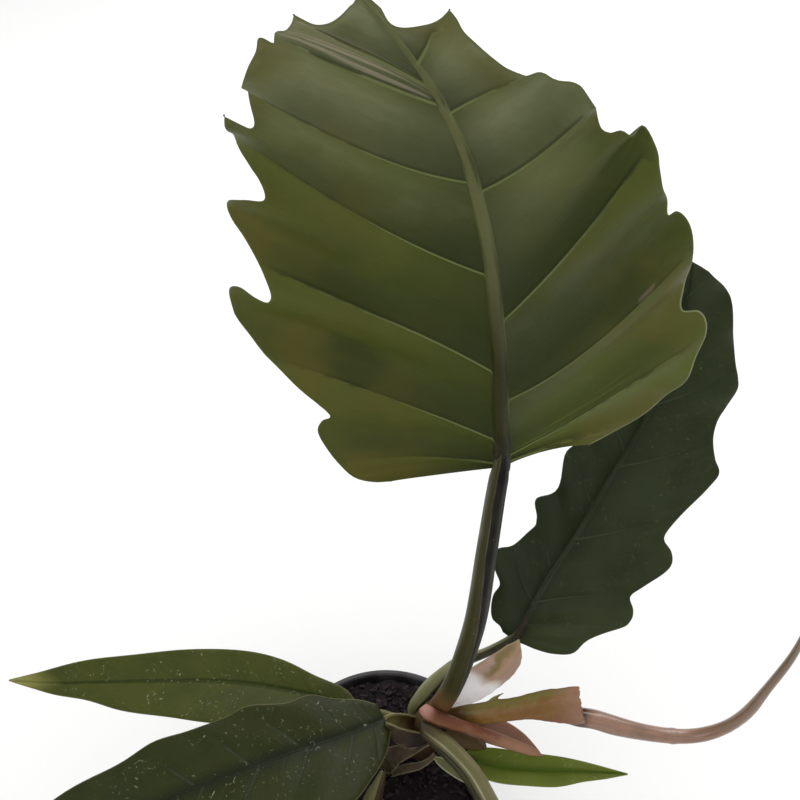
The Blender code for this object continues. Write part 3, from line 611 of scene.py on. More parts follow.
petiole_6 = stalk(
    "leaf_stalk_6",
    [(19.5, 8, 113.6), (20.4, 2, 117), (24.4, -3.2, 119.2), (33, -12, 119.8), (40, -22, 121.6), (45, -34, 125),
     (50, -50, 131), (54, -70, 141), (57.55, -92.5, 149.8), (58.4, -100, 152.4), (59, -110, 155.4)],
    [2.3, 3.9, 4.3, 4.3, 4.3, 4.25, 4.2, 4.15, 4.1, 3.95, 3.8, 3.55, 3.3, 2.4, 1.2], around=56, form=channelled,
    split=((0, 0.5), (30, 0.42), (200, 0.3)))
# Its dark seam line is painted shade in the groove, and its light top line a painted highlight.
petiole_6.data.materials.append(stalk_skin(
    "channel_skin", (104, 100, 66), (42, 42, 24), (56, 44, 28), soft=0.1, base_length=20, dust=0.6, ridge=0.9,
    ridge_colour=(24, 22, 14), crest_highlight=(156, 154, 126), left_edge=(116, 110, 80), sheen=0.15))
for number, piece in ((1, petiole_1), (2, petiole_2), (4, petiole_4), (5, petiole_5), (6, petiole_6)):
    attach(piece, "root")
    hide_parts("petiole_%d" % number)

# Leaf 1: the great leaf, grown upright on its own long stalk and turned away,
# so its underside shows: olive green, raised pale side veins, a thick midrib
# flushed brown, and the blade puckered between the veins out to hooked teeth.
def laid(path, up, roll, fold, curl, half, s, x):
    """A point of a folded and curled blade: s along the midrib, x out from it."""
    m, way = path.at(s)
    up = np.array(up, float)
    n = up - (way @ up)[..., None] * way
    n /= np.linalg.norm(n, axis=-1, keepdims=True)
    side = np.cross(way, n)
    r = np.radians(read(roll, np.clip(s / path.length, 0, 1)))[..., None]
    side, n = side * np.cos(r) + n * np.sin(r), n * np.cos(r) - side * np.sin(r)
    k = (x > 0).astype(int)
    w = np.abs(x)
    f = np.radians(np.array(fold, float))[k]
    c = np.radians(np.array(curl, float))[k] / half
    c = np.where(np.abs(c) < 1e-6, 1e-6, c)
    across = (np.sin(f + c * w) - np.sin(f)) / c
    lift = -(np.cos(f + c * w) - np.cos(f)) / c
    return m + side * (np.sign(x) * across)[..., None] + n * lift[..., None]


def eased(marks, cuts=6):
    """A smooth outline through measured marks (Catmull-Rom). A mark given twice stays a sharp point."""
    p = np.array(marks, float)
    p = np.concatenate([[2 * p[0] - p[1]], p, [2 * p[-1] - p[-2]]])
    out = []
    for i in range(1, len(p) - 2):
        a, b, c, d = p[i - 1:i + 3]
        for u in np.linspace(0, 1, cuts, endpoint=False):
            bends = (2 * a - 5 * b + 4 * c - d) * u * u + (3 * b - a - 3 * c + d) * u ** 3
            out.append(0.5 * (2 * b + (c - a) * u + bends))
    return np.array(out + [p[-2]])


def from_line(points, line):
    """How far points on the flat lie from a line."""
    a, d = line[:-1], np.diff(line, axis=0)
    u = np.clip(((points[:, None] - a) * d).sum(-1) / np.maximum((d * d).sum(-1), 1e-9), 0, 1)
    return np.linalg.norm(points[:, None] - a - u[..., None] * d, axis=-1).min(1)


def within(points, line):
    """Which points lie inside a closed line."""
    a, b = line, np.roll(line, -1, axis=0)
    x, y = points[:, :1], points[:, 1:]
    rise = np.where(a[:, 1] == b[:, 1], 1e-9, b[:, 1] - a[:, 1])
    crossing = ((a[:, 1] > y) != (b[:, 1] > y)) & (x < a[:, 0] + (b[:, 0] - a[:, 0]) * (y - a[:, 1]) / rise)
    return crossing.sum(1) % 2 == 1


def unit(v):
    """Vectors of length 1."""
    return v / np.maximum(np.linalg.norm(v, axis=1, keepdims=True), 1e-9)


def blade(name, midrib, up, plus, minus, roll=((0, 0), (1, 0)), fold=(0, 0), curl=(0, 0), half=80.0, veins=((), ()),
          fan=((0, 0), (0, 0)), quilt=0.0, wave=(0.0, 30.0), rib=None, thick=0.5, step=1.3, gap=2.4, ragged=0.0,
          crumple=0.0, cuts=6, seed=0.0):
    """A leaf or bract: laid out flat in rows that follow the side veins, cut to its outline, then folded, waved
    and given its thickness. plus and minus are the margin of each half, (along, out). veins holds (start, slope,
    bend) of each side vein of the minus and the plus half, fan the same for the base; no bend is 0. rib holds
    (share of length, half width, height)."""
    path = Path(midrib)
    length = path.length
    veins = [[(*vein, 0.0)[:3] for vein in side] for side in veins]
    lines = []
    for k in (0, 1):
        guide = [(*fan[k], 0.0)[:3]] + veins[k]
        lines.append(np.array(guide + [(length, *guide[-1][1:])], float))
    first = lines[0][0][0]

    def row(k, t, w):
        """How far along the blade the row that starts at t is, w out from the midrib."""
        return t + read(lines[k], t) * w + read(lines[k], t, 2) * w * w

    # The outline: the base and the margin of each half, then the tip across.
    margins, loops = [], []
    for k, marks in enumerate((minus, plus)):
        line = eased(marks, cuts)
        line[:, 1] = np.maximum(line[:, 1], 0.3)
        if abs(line[-1][0] - length) >= 1.5:
            line = np.vstack([line, [(length, 0.3)]])
        start, wide = line[0]
        out = np.linspace(0.3, wide, max(3, int(wide / step)), endpoint=False)
        base = np.stack([row(k, first, out) + (start - row(k, first, wide)) * (out / wide) ** 3, out], 1)
        loop = np.vstack([base, line])
        fine = [loop[:1]]
        for a, b in zip(loop, loop[1:]):
            reach = np.hypot(*(b - a))
            n = max(1, int(reach / (0.9 * step)) + 1) if reach > 1e-6 else 0
            fine += [a + (b - a) * (j + 1) / n for j in range(n)]
        margins.append(line)
        loops.append(np.vstack(fine) * (1, -1 if k == 0 else 1))
    end, start = loops[1][-1], loops[0][-1]
    tip = np.linspace(end, start, max(2, int((end[1] - start[1]) / step) + 1))[1:-1]
    outline = np.vstack([loops[1], tip, loops[0][::-1]])
    if ragged:
        far = np.clip((outline[:, 0] / length - 0.8) / 0.2, 0, 1) ** 2
        outline[:, 0] += ragged * far * np.array([
            noise.noise(Vector((x * 0.9, seed, 1.0))) + 0.5 * noise.noise(Vector((x * 2.3, seed, 4.0)))
            for x in outline[:, 1]])

    # Rows of points inside it, close together at the veins and at the rib.
    rows = list(np.arange(first + step / 2, length, step))
    for start in [vein[0] for side in veins for vein in side]:
        rows += [start + d for d in (-0.9, -0.45, 0.0, 0.45, 0.9)]
    rows = sorted(r for r in rows if first < r < length)
    rows = [b for a, b in zip([-99.0] + rows, rows) if b - a > 0.2]
    widest = max(margins[0][:, 1].max(), margins[1][:, 1].max())
    closed = np.vstack([outline, outline[:1]])
    spots, ties, last = [], [], {}
    for t in rows:
        wide = 1.4 * read(rib, t / length) if rib else 0.0
        inner = np.linspace(0, wide, 7)[1:] if rib else np.array([])
        w = np.concatenate([inner, wide + gap * np.arange(1, int(widest / gap) + 2)])
        line = np.vstack([np.stack([row(0, t, w), -w], 1)[::-1], [(t, 0.0)], np.stack([row(1, t, w), w], 1)])
        inside = within(line, outline)
        inside[inside] = from_line(line[inside], closed) > 0.42 * min(step, gap)
        number = np.cumsum(inside) - 1 + len(spots) + len(outline)
        this = {j: int(number[j]) for j in range(len(line)) if inside[j]}
        ties += [(this[j], this[j + 1]) for j in this if j + 1 in this]
        ties += [(last[j], this[j]) for j in this if j in last]
        last = this
        spots += list(line[inside])
    flat_points = np.vstack([outline, spots]) if spots else outline
    done = geometry.delaunay_2d_cdt([Vector(q) for q in flat_points], ties, [list(range(len(outline)))], 1, 1e-5)
    flat_points = np.array([q[:] for q in done[0]])
    sheet = np.array([q[::-1] for q in done[2]])

    # What each point knows: its row, its share of the way out, its nearest vein and its place between two veins.
    s, x = flat_points.T
    w = np.abs(x)
    right = x > 0
    low, high = np.full_like(s, first - 30), np.full_like(s, length + 30)
    for _ in range(40):
        middle = (low + high) / 2
        ahead = np.where(right, row(1, middle, w), row(0, middle, w)) > s
        low, high = np.where(ahead, low, middle), np.where(ahead, middle, high)
    t = np.clip((low + high) / 2, first, length)
    flat = np.stack([s, w], 1)
    edge = np.where(right, from_line(flat, margins[1]), from_line(flat, margins[0]))
    f = w / (w + edge + 1e-6)
    near, phase = np.full_like(s, 9.0), np.zeros_like(s)
    for side, mine in zip(veins, (~right, right)):
        if side:
            away = [np.abs(s - (a + b * w + c * w * w))[mine] / math.sqrt(1 + b ** 2) for a, b, c in side]
            near[mine] = np.min(away, axis=0)
            starts = [first] + [vein[0] for vein in side] + [length]
            phase[mine] = np.interp(t[mine], starts, np.arange(len(starts))) % 1.0

    def normals(p):
        a, b, c = (p[sheet[:, j]] for j in range(3))
        n = np.zeros_like(p)
        for j in range(3):
            np.add.at(n, sheet[:, j], np.cross(b - a, c - a))
        return unit(n)

    # Folded, puckered between the veins, waved along its edge, and crumpled.
    point = laid(path, up, roll, fold, curl, half, s, x)
    pucker = (0.5 - 0.5 * np.cos(2 * np.pi * phase ** 0.7)) * np.sqrt(np.clip(4 * f * (1 - f), 0, 1))
    lift = quilt * np.clip((w + edge) / 30 - 0.2, 0, 1) * pucker
    waves = np.sin(2 * np.pi * t / wave[1] + np.where(right, 0.0, 1.7))
    lift -= wave[0] * f ** 2 * waves * np.clip((length - s) / 30, 0, 1)
    if crumple:
        lift += crumple * np.array([
            noise.noise(Vector((a * 0.35, b * 0.35, seed))) + 0.5 * noise.noise(Vector((a * 0.12, b * 1.1, seed + 5)))
            for a, b in flat_points])
    point = point + normals(point) * lift[:, None]
    up_way = normals(point)
    fading = np.clip((1.0 - f) / 0.3, 0, 1)
    ridge = 0.55 * (1 - 0.6 * f) * fading * dip(near, 0, 0.62)
    groove = 0.2 * (1 - 0.5 * f) * fading * dip(near, 0, 0.5)
    ribbing = w
    if rib:
        ribbing = w / read(rib, s / length)
        ridge = np.maximum(ridge, read(rib, s / length, 2) * np.sqrt(np.clip(1 - ribbing ** 2, 0, 1)) ** 0.8)
        groove = groove + 0.5 * dip(ribbing, 0, 0.5)
    body = thick * (1 - 0.4 * f ** 5)
    top = point + up_way * (body / 2 - groove)[:, None]
    under = point - up_way * (body / 2 + ridge)[:, None]

    # The cut edge, rounded by one line of points outside the two faces.
    sides = {(a, b) for q in sheet for a, b in zip(q, np.roll(q, -1))}
    bare = [(a, b) for a, b in sides if (b, a) not in sides]
    out_way = np.zeros_like(point)
    for a, b in bare:
        way = np.cross(point[b] - point[a], up_way[a])
        out_way[a] += way
        out_way[b] += way
    ring = sorted({a for pair in bare for a in pair})
    rim = point[ring] + unit(out_way[ring]) * (0.45 * body[ring])[:, None]
    count = len(point)
    at = {a: 2 * count + j for j, a in enumerate(ring)}
    faces = [tuple(map(int, q)) for q in sheet] + [tuple(int(a) + count for a in q[::-1]) for q in sheet]
    for a, b in bare:
        faces += [(int(b), int(a), at[a], at[b]), (at[b], at[a], int(a) + count, int(b) + count)]
    mesh = bpy.data.meshes.new(name)
    mesh.from_pydata((np.vstack([top, under, rim]) * MM).tolist(), [], faces)
    obj = bpy.data.objects.new(name, mesh)
    bpy.context.scene.collection.objects.link(obj)
    numbers = {"along": t, "across": x, "out": f, "vein": near, "between": phase, "rib": ribbing, "edge": edge}
    keep(mesh, {word: np.concatenate([each, each, each[ring]]) for word, each in numbers.items()})
    keep(mesh, {"under": np.concatenate([np.zeros(count), np.ones(count), np.full(len(ring), 0.5)])})
    pick(obj)
    bpy.ops.object.shade_smooth()
    return obj


# Side veins and fine lines of a blade, from the numbers kept at its points.
leaf_lines = Effect("leaf_lines", ["Vein", "Rib", "Streak", "Net"], Vein_Width=0.8, Rib_Fade=0.2)
along, across, out_share = (leaf_lines.kept(word) for word in ("along", "across", "out"))
wide = leaf_lines.ask("Vein Width") * (1.0 - out_share * 0.6)
vein_line = leaf_lines.kept("vein").fade(wide * 0.35, wide, 1.0, 0.0)
leaf_lines.give("Vein", vein_line * out_share.fade(0.7, 1.0, 1.0, 0.0))
leaf_lines.give("Rib", leaf_lines.kept("rib").fade(1.05 - leaf_lines.ask("Rib Fade"), 1.1, 1.0, 0.0))
leaf_lines.give("Streak", leaf_lines.lines(along * 0.5, across * 0.035, detail=5.0).fade(0.3, 0.7))
net = leaf_lines.add("TexVoronoi", "Distance", {"feature": "DISTANCE_TO_EDGE"}, Scale=0.42,
                     Vector=leaf_lines.add("CombineXYZ", X=along, Y=across * 0.7))
leaf_lines.give("Net", net.fade(0.0, 0.12, 1.0, 0.0))

# Scratches: short thin squiggles of dried water and dust.
scratches = Effect("scratches", ["Mask"], Spacing=3.0, Width=0.03, Share=0.3)
strands = scratches.add("TexVoronoi", "Distance", {"feature": "DISTANCE_TO_EDGE"}, Vector=scratches.in_mm(),
                        Scale=1.0 / scratches.ask("Spacing"))
limit = 0.75 - scratches.ask("Share") * 0.5
breaks = scratches.noise(scratches.in_mm(), 0.55).fade(limit, limit + 0.06)
scratches.give("Mask", strands.fade(0.0, scratches.ask("Width"), 1.0, 0.0) * breaks)


def where(skin, limits, waver=0.0):
    """1 where every number kept at the points has gone from its first limit to its second."""
    amount = 1.0
    for word, low, high in limits:
        value = skin.kept(word) + waver
        amount = (value.fade(low, high) if high > low else value.fade(high, low, 1.0, 0.0)) * amount
    return amount


def leaf_skin(name, upper, under, margin, glow, dust=0.0, dust_spacing=3.0, dust_size=0.11, vein_width=0.9,
              vein_show=0.75, vein_far=0.0, rough=0.42, gleam=0.0, let_through=0.3, blush=None, tip=None,
              tip_range=None, rib_turn=None, tip_sheen=None, panel=0.0, inward=0.0, shaded_half=None, crease_shade=0.0,
              pale_edge=None, zones=(), streaks=()):
    """Waxy leaf skin, a little light coming through. upper and under hold the colours of each side: the blade,
    its patches, its veins and its rib. A zone, or a streak of fine lines, is (colour, share, limits): each limit
    is a number kept at the points, and where it starts and ends."""
    skin = Skin(name)
    vein = skin.place(leaf_lines, "Vein", Vein_Width=vein_width)
    rib, streak, net = (vein.also(word) for word in ("Rib", "Streak", "Net"))
    patch, small = (skin.place(clouding, Size=size, Sharp=0.3) for size in (16.0, 3.0))
    along, across, between, out, off_vein, off_rib, edge = (
        skin.kept(word) for word in ("along", "across", "between", "out", "vein", "rib", "edge"))
    fine = skin.lines(along * 1.6, across * 0.03, detail=3.0).fade(0.5, 0.62) if streaks else None

    def face(plain, patched, vein_colour, rib_colour, grey=None):
        """The colour of one side."""
        skin.colour = skin.mix(patch, plain, patched)
        for tint, share, *limits in zones:
            skin.coat(where(skin, limits) * share, tint)
        # The painted sheen, where there is one.
        if grey:
            skin.coat(grey, tip_sheen[0])
        skin.coat(streak * 0.09, BLACK)
        skin.coat(small * 0.15, patched)
        skin.coat(net * 0.06, vein_colour)
        if panel:
            # Painted shade just past each side vein, where the blade lies in its own shade; painted light before the
            # next.
            skin.coat(between.fade(0.0, 0.7, 1.0, 0.0) * out.fade(0.7, 1.0, 1.0, 0.3) * (0.6 * panel), BLACK)
            skin.coat(between.fade(0.55, 1.0) * (0.6 * panel), 1.3 * seen(patched))
            skin.coat(off_vein.fade(0.3, 1.5, 1.0, 0.0) * (between < 0.5) * out.fade(0.85, 1.0, 0.6, 0.0), BLACK)
        if inward:
            skin.coat(out.fade(0.0, 0.5, 1.0, 0.0) * (0.5 * inward), BLACK)
        # Painted shade along the side veins and in the fold along the midrib.
        if crease_shade:
            skin.coat(off_vein.fade(0.5, 1.7, crease_shade * 0.3, 0.0) * out.fade(0.4, 0.9, 1.0, 0.0), BLACK)
            skin.coat(off_rib.fade(0.8, 2.6, 1.0, 0.0) * (crease_shade * 0.45), BLACK)
        for tint, share, *limits in streaks:
            skin.coat(where(skin, limits) * fine * share, tint)
        skin.coat(vein * out.fade(0.3, 0.75, vein_show, vein_far), vein_colour)
        skin.coat(rib * 0.9, rib_colour)
        return skin.colour

    over = face(*upper)
    # Painted shade: the half of the fold turned from the light is darkened.
    if shaded_half:
        half, shade = shaded_half
        over = skin.mix((across * half).fade(-0.6, 0.6, 0.0, shade), over, BLACK)
    rib_colour = under[3]
    if rib_turn:
        turned, start, end = rib_turn
        lit_edge = (off_rib * skin.math("SIGN", across)).fade(-0.85, -0.55, 1.0, 0.0) * along.fade(0.0, 20.0)
        rib_colour = skin.mix(lit_edge * 0.9, skin.mix(along.fade(start, end), rib_colour, turned), under[2])
    # Painted sheen: the underside turns grey and lighter towards the tip, where it catches the light at a grazing
    # angle.
    grey = (along + patch * 12.0).fade(tip_sheen[1], tip_sheen[2], 0.0, tip_sheen[3]) if tip_sheen else None
    below = face(*under[:3], rib_colour, grey)
    if blush:
        below = skin.mix(skin.place(clouding, Size=34.0, Sharp=0.6) * out.fade(0.3, 0.9) * 0.55, below, blush)
    skin.colour = skin.mix(skin.kept("under").fade(0.3, 0.7), over, below)
    if tip:
        skin.coat(along.fade(*tip_range), tip)
    skin.coat(edge.fade(0.1, 0.4, 0.6, 0.0), margin)
    if pale_edge:
        half, end, pale = pale_edge
        stretch = (across * half).fade(0.0, 6.0) * along.fade(end, end + 14.0, 1.0, 0.0)
        skin.coat(stretch * edge.fade(0.2, 0.45, 1.0, 0.0), pale)
    if dust:
        dots = skin.place(specks, Spacing=dust_spacing, Size=dust_size, Share=0.35)
        marks = skin.place(scratches, Spacing=dust_spacing * 1.2, Width=0.035, Share=0.35)
        settled = skin.place(clouding, Size=12.0, Sharp=0.9)
        skin.coat(skin.math("MAXIMUM", dots, marks) * settled * dust, (174, 176, 142))
    return skin.finish(patch.fade(0.0, 1.0, rough - 0.04, rough + 0.08), streak * 0.5 + net * 0.25, 0.12, glow,
                       let_through, Coat_Weight=gleam, Coat_Roughness=0.3, Specular_IOR_Level=0.22)


leaf_1 = blade(
    "leaf_1_great",
    midrib=[(44.3, 5, 296), (38.6, -7.4, 347.4), (31.2, -24.1, 397.2), (18.8, -47.3, 443.2), (1.4, -81.5, 479.2)],
    up=(0, 1, 0.4), roll=((0, -8), (0.4, -6), (0.75, 8), (1, 18)), fold=(8, 8),
    plus=[(-15, 42), (-14.7, 49), (-10.4, 55.6), (1, 60), (15, 62.6), (24, 63), (30, 60.5), (34, 57), (49.5, 64.3),
          (62, 69), (75, 74), (83.6, 77.2), (91.7, 77.2), (98, 74.6), (98.4, 71.3), (93.3, 68.6), (91, 65.8),
          (93.9, 63.3), (98, 62.6), (105, 63.7), (114, 66.7), (120.7, 69), (126, 68.5), (131, 65), (132.3, 60),
          (131.4, 55.6), (133, 54.5), (137, 55.3), (141, 56.8), (147.6, 58.2), (156, 55.5), (162.8, 53),
          (162.8, 53), (159.2, 50), (158, 48.6), (159, 47.5), (164.6, 47.2), (171.5, 44.6), (180.3, 38.7),
          (184, 35.2), (187, 33.4), (187, 32.3), (185.2, 31), (187.5, 29.5), (193.2, 25.7), (195, 22.7),
          (199, 19.1), (202.4, 16.8), (202.4, 16.8), (200.3, 14.5), (200.2, 12.4), (201, 9.8), (203, 7),
          (207, 3.6)],
    minus=[(-4, 33), (1, 42.3), (7, 52.6), (15.4, 59.6), (21, 66.2), (33.6, 67.4), (42.7, 68.8), (50, 68.3),
           (54.4, 65.8), (54.7, 61.3), (58, 60.1), (65, 60), (82, 57.6), (94.4, 55.6), (100, 53.6), (102.5, 51),
           (101.2, 49.2), (103, 48.4), (108.9, 47.4), (120, 44), (128.6, 42.5), (134, 42), (138, 40.5),
           (141.6, 37.6), (145.8, 34.5), (144, 31.6), (144.4, 29.8), (150, 29.3), (159, 29), (163, 27.6),
           (163.8, 26), (164, 22), (170, 19.4), (177, 17.4), (183, 15), (188, 12.6), (192, 10.9), (196, 10.8),
           (199.4, 10.6), (199.4, 10.6), (196.4, 8), (195.4, 5.4), (197.6, 3), (202, 1.2), (207, 1.4)],
    fan=[(-5, 0.35, -0.009), (-5, -0.1, -0.004)],
    veins=([(-3, 0.16), (0.9, 0.41, 0.0032), (34.7, 0.18, 0.0134), (75.6, 0.85, 0.015), (133.3, 0.25, 0.022),
            (164.7, 0.56), (185.5, 1.4)],
           [(-2.9, 0.4, -0.006), (11.1, 0.84, -0.0007), (49.5, 1.08, -0.0031), (98.4, 0.62, 0.0056),
            (137.3, 0.17, 0.0141), (168.3, 0.66, 0.0083), (176, 1.8, -0.015)]),
    quilt=2.2, wave=(2.6, 34),
    rib=[(0, 2.8, 3.4), (0.25, 2.3, 2.8), (0.6, 1.6, 1.7), (0.75, 1.1, 1), (0.85, 0.8, 0.5), (1, 0.4, 0.25)],
    step=1.7, cuts=4)
leaf_1.data.materials.append(leaf_skin(
    "great_leaf_skin", upper=((44, 56, 26), (52, 62, 32), (80, 88, 48), (84, 88, 50)),
    under=((63, 69, 23), (75, 78, 28), (116, 124, 76), (38, 26, 10)), margin=(98, 100, 62), glow=(150, 165, 40),
    blush=(96, 84, 34), rib_turn=((102, 102, 66), 50, 120), tip_sheen=((136, 138, 104), 90, 176, 0.92), panel=0.9,
    inward=0.95, rough=0.5, vein_width=0.6, vein_show=0.9, vein_far=0.25, pale_edge=(-1, 20, (140, 144, 108)),
    zones=(((92, 100, 38), 0.85, ("across", 4, -8), ("along", 34, 10)),
           ((92, 92, 42), 0.5, ("across", -4, 8), ("out", 0.55, 1)),
           ((40, 44, 15), 0.8, ("across", 2, -8), ("along", 34, 44), ("along", 104, 82), ("out", 0.9, 0.45)),
           ((44, 50, 18), 0.5, ("across", -2, 6), ("along", 50, 70), ("along", 130, 100), ("out", 0.5, 0.1)),
           ((40, 44, 16), 0.7, ("along", 18, 23), ("along", 33, 28), ("across", 34, 42), ("across", 60, 50)),
           ((150, 126, 112), 0.9, ("along", 34.6, 35.2), ("along", 36.6, 36), ("across", -43, -44),
            ("across", -48, -47)),
           ((126, 136, 74), 0.8, ("across", -1, -2.5), ("vein", 3.2, 0.8), ("out", 0.16, 0.05), ("along", 90, 50))),
    streaks=(((164, 152, 132), 0.8, ("across", 1, 3), ("along", 167, 170), ("along", 180, 174)),
             ((118, 128, 66), 0.4, ("across", -2, -6), ("along", 8, 2), ("out", 0.9, 0.6)))))
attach(leaf_1, "root")
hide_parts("leaf_1")

# Leaf 2: the second large leaf, behind on the right, held in a fold along its
# midrib with its dark glossy upper side to the viewer.
leaf_2 = blade(
    "leaf_2_folded",
    midrib=[(67, 48, 126), (83, 66, 154), (97, 80, 169), (110, 93, 188), (126, 106, 216), (138, 116, 250),
            (140, 118, 284), (136, 112, 313)],
    up=(-0.2, -0.7, 0.7), roll=((0, -14), (1, -14)), fold=(30, 12),
    plus=[(-0.4, 4), (0.3, 13), (2.4, 21.5), (7.1, 29.4), (17.2, 33.3), (34.5, 44.6), (43, 46.6), (48.4, 44.6),
          (53, 39.5), (60, 41.9), (69.7, 46.9), (75.4, 47.8), (80, 44.8), (83, 39.4), (89, 38.3), (102.2, 39.6),
          (118.1, 43.6), (125.4, 44.4), (130.5, 38.9), (137.8, 33.5), (145, 31.7), (152.3, 32.5), (161.1, 33.6),
          (166.5, 31.7), (173, 28.1), (185.8, 23.4), (199.1, 20.2), (206, 16.6), (218.2, 7.7)],
    minus=[(1.6, 7.2), (4.6, 10.8), (8.6, 18.4), (19.3, 25.2), (25.7, 26.6), (30.6, 34.4), (35.7, 40.1), (38, 39.5),
           (42.1, 31.9), (53, 24.5), (59.1, 26.4), (71.1, 34.8), (84.7, 26.5), (101.6, 32.1), (116, 30), (130, 36),
           (143, 29), (160, 31), (174, 24), (197, 20), (208, 12), (217, 6)],
    fan=[(-1, 0.45), (-1, 0)],
    veins=([(2.9, 0.5), (21.7, 0.6), (39.7, 0.8), (79.3, 0.75, 0.002), (112, 0.8, 0.002), (148, 0.9), (182, 1),
            (205, 1.2)],
           [(1.9, 0.3), (7.9, 0.6), (21.5, 0.85), (59.8, 0.85, 0.0035), (103.6, 0.9, 0.003), (140, 0.9, 0.002),
            (175, 0.9), (202, 1.2)]),
    quilt=1, wave=(2.4, 36), rib=[(0, 2.8, 2.2), (0.5, 1.8, 1.2), (1, 0.8, 0.4)], step=1.5)
leaf_2.data.materials.append(leaf_skin(
    "dark_leaf_skin", upper=((40, 44, 20), (52, 58, 33), (62, 70, 50), (52, 58, 40)),
    under=((68, 74, 38), (78, 82, 46), (100, 104, 62), (76, 66, 40)), margin=(74, 80, 62), glow=(110, 135, 30),
    dust=0.25, rough=0.42, gleam=0.06, shaded_half=(-1, 0.4), crease_shade=0.8,
    zones=(((66, 74, 46), 0.75, ("across", -3, 3), ("along", 26, 4), ("out", 0.25, 0.6)),
           ((30, 33, 16), 0.6, ("along", 30, 60), ("out", 0.35, 0.1)))))
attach(leaf_2, "root")
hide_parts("leaf_2")

# Leaf 3: an older leaf lying out to the lower left, nearly flat, very dark,
# dusty, with a fine pale edge.
leaf_3 = blade(
    "leaf_3_dusty",
    midrib=[(-3, 6, 118), (-24, -5, 122), (-43, -13, 124), (-62, -21, 124), (-80, -27, 122), (-120, -42, 113),
            (-152, -56, 100), (-176, -70, 86)],
    up=(0, -0.2, 1), fold=(8, 8),
    plus=[(-2, 8), (5, 13), (17, 18), (29, 23), (42, 22), (58, 27), (70, 26), (88, 25), (105, 27), (124, 24),
          (150, 25), (166, 21), (184, 11), (192, 4)],
    minus=[(-4, 6), (4, 16), (16, 25), (29, 33), (46, 32), (60, 35), (78, 32), (95, 33), (114, 28), (132, 28),
           (150, 22), (168, 17), (184, 8), (192, 3)],
    fan=[(-3, 0), (-3, 0)],
    veins=([(2, 0.4), (14, 0.6), (36, 0.7), (60, 0.75), (86, 0.8), (114, 0.85), (142, 0.9), (170, 1.1)],
           [(2, 0.4), (16, 0.6), (40, 0.7), (64, 0.75), (90, 0.8), (118, 0.85), (146, 0.9), (172, 1.1)]),
    quilt=0.8, wave=(1.6, 40), rib=[(0, 2.4, 1.8), (0.5, 1.6, 1), (1, 0.8, 0.4)], step=1.6)
leaf_3.data.materials.append(leaf_skin(
    "dusty_leaf_skin", upper=((43, 48, 12), (52, 56, 20), (56, 62, 44), (34, 38, 22)),
    under=((78, 82, 46), (84, 88, 52), (106, 108, 70), (86, 80, 50)), margin=(128, 122, 86), glow=(110, 135, 30),
    dust=0.7, rough=0.46, crease_shade=0.6, zones=(((30, 33, 8), 0.6, ("out", 0.3, 0.08)),)))
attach(leaf_3, "root")
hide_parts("leaf_3")

# Leaf 4: a long lance-shaped young leaf, out to the left. Thinner and
# brighter green, going yellow at the tip, with white flecks.
leaf_4 = blade(
    "leaf_4_lance",
    midrib=[(-14, 22, 101), (-36, 27, 106), (-54, 29, 110), (-80, 31, 113), (-106, 31, 114), (-147, 32, 111),
            (-181, 35, 106), (-199, 39, 102)],
    up=(0, -0.2, 1), fold=(12, 12),
    plus=[(3, 4), (10, 8), (26, 10), (42, 14), (60, 16), (86, 16), (113, 14), (140, 12), (161, 8), (176, 4)],
    minus=[(3, 5), (10, 10), (26, 16), (50, 22), (74, 23), (94, 21), (120, 16), (141, 10), (169, 4)],
    veins=([(6, 0.8), (24, 0.9), (48, 1), (72, 1), (96, 1.1), (120, 1.3), (150, 1.5)],
           [(6, 0.8), (26, 0.9), (50, 1), (74, 1), (98, 1.1), (122, 1.3), (150, 1.5)]),
    quilt=0.4, wave=(0.6, 50), rib=[(0, 2, 1.6), (0.5, 1.4, 0.9), (1, 0.7, 0.4)], step=1.8)
leaf_4.data.materials.append(leaf_skin(
    "lance_leaf_skin", upper=((64, 69, 24), (75, 78, 30), (70, 76, 38), (54, 60, 24)),
    under=((88, 92, 46), (94, 98, 52), (110, 112, 68), (100, 98, 58)), margin=(120, 112, 74), glow=(140, 160, 30),
    dust=0.9, dust_spacing=3.4, dust_size=0.16, tip=(150, 146, 82), tip_range=(152, 180), rough=0.48,
    vein_show=0.2))
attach(leaf_4, "root")
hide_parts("leaf_4")

# Leaf 5: the smallest and youngest, a narrow bright blade low on the right,
# lighter along its edges and flecked.
leaf_5 = blade(
    "leaf_5_small",
    midrib=[(40, 0, 97), (52, -6, 99), (66, -9.5, 101), (85, -10.5, 101.5), (103, -10.5, 100), (119, -10, 97)],
    up=(0, -0.2, 1), fold=(12, 12), plus=[(1, 3), (6, 6), (15, 8), (30, 8.5), (45, 8), (58, 5.5), (70, 3)],
    minus=[(1, 3), (6, 6), (15, 8), (30, 8), (46, 6.5), (62, 4), (72, 2)],
    veins=([(4, 0.9), (14, 0.9), (28, 1), (42, 1.2), (58, 1.4)],
           [(4, 0.9), (16, 0.9), (30, 1), (44, 1.2), (60, 1.4)]),
    quilt=0.25, wave=(0.5, 30), rib=[(0, 1.6, 1.2), (0.5, 1.1, 0.7), (1, 0.6, 0.3)], step=1.2)
leaf_5.data.materials.append(leaf_skin(
    "young_leaf_skin", upper=((104, 114, 44), (118, 124, 60), (100, 110, 50), (76, 90, 30)),
    under=((98, 104, 50), (104, 110, 56), (120, 124, 74), (108, 106, 62)), margin=(132, 136, 76),
    glow=(170, 195, 40), dust=1, dust_spacing=2.4, dust_size=0.2, rough=0.5, vein_show=0.2, inward=0.75,
    let_through=0.35, zones=(((84, 98, 30), 0.7, ("out", 0.45, 0.1)), ((128, 134, 66), 0.5, ("out", 0.6, 0.95)))))
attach(leaf_5, "root")
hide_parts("leaf_5")

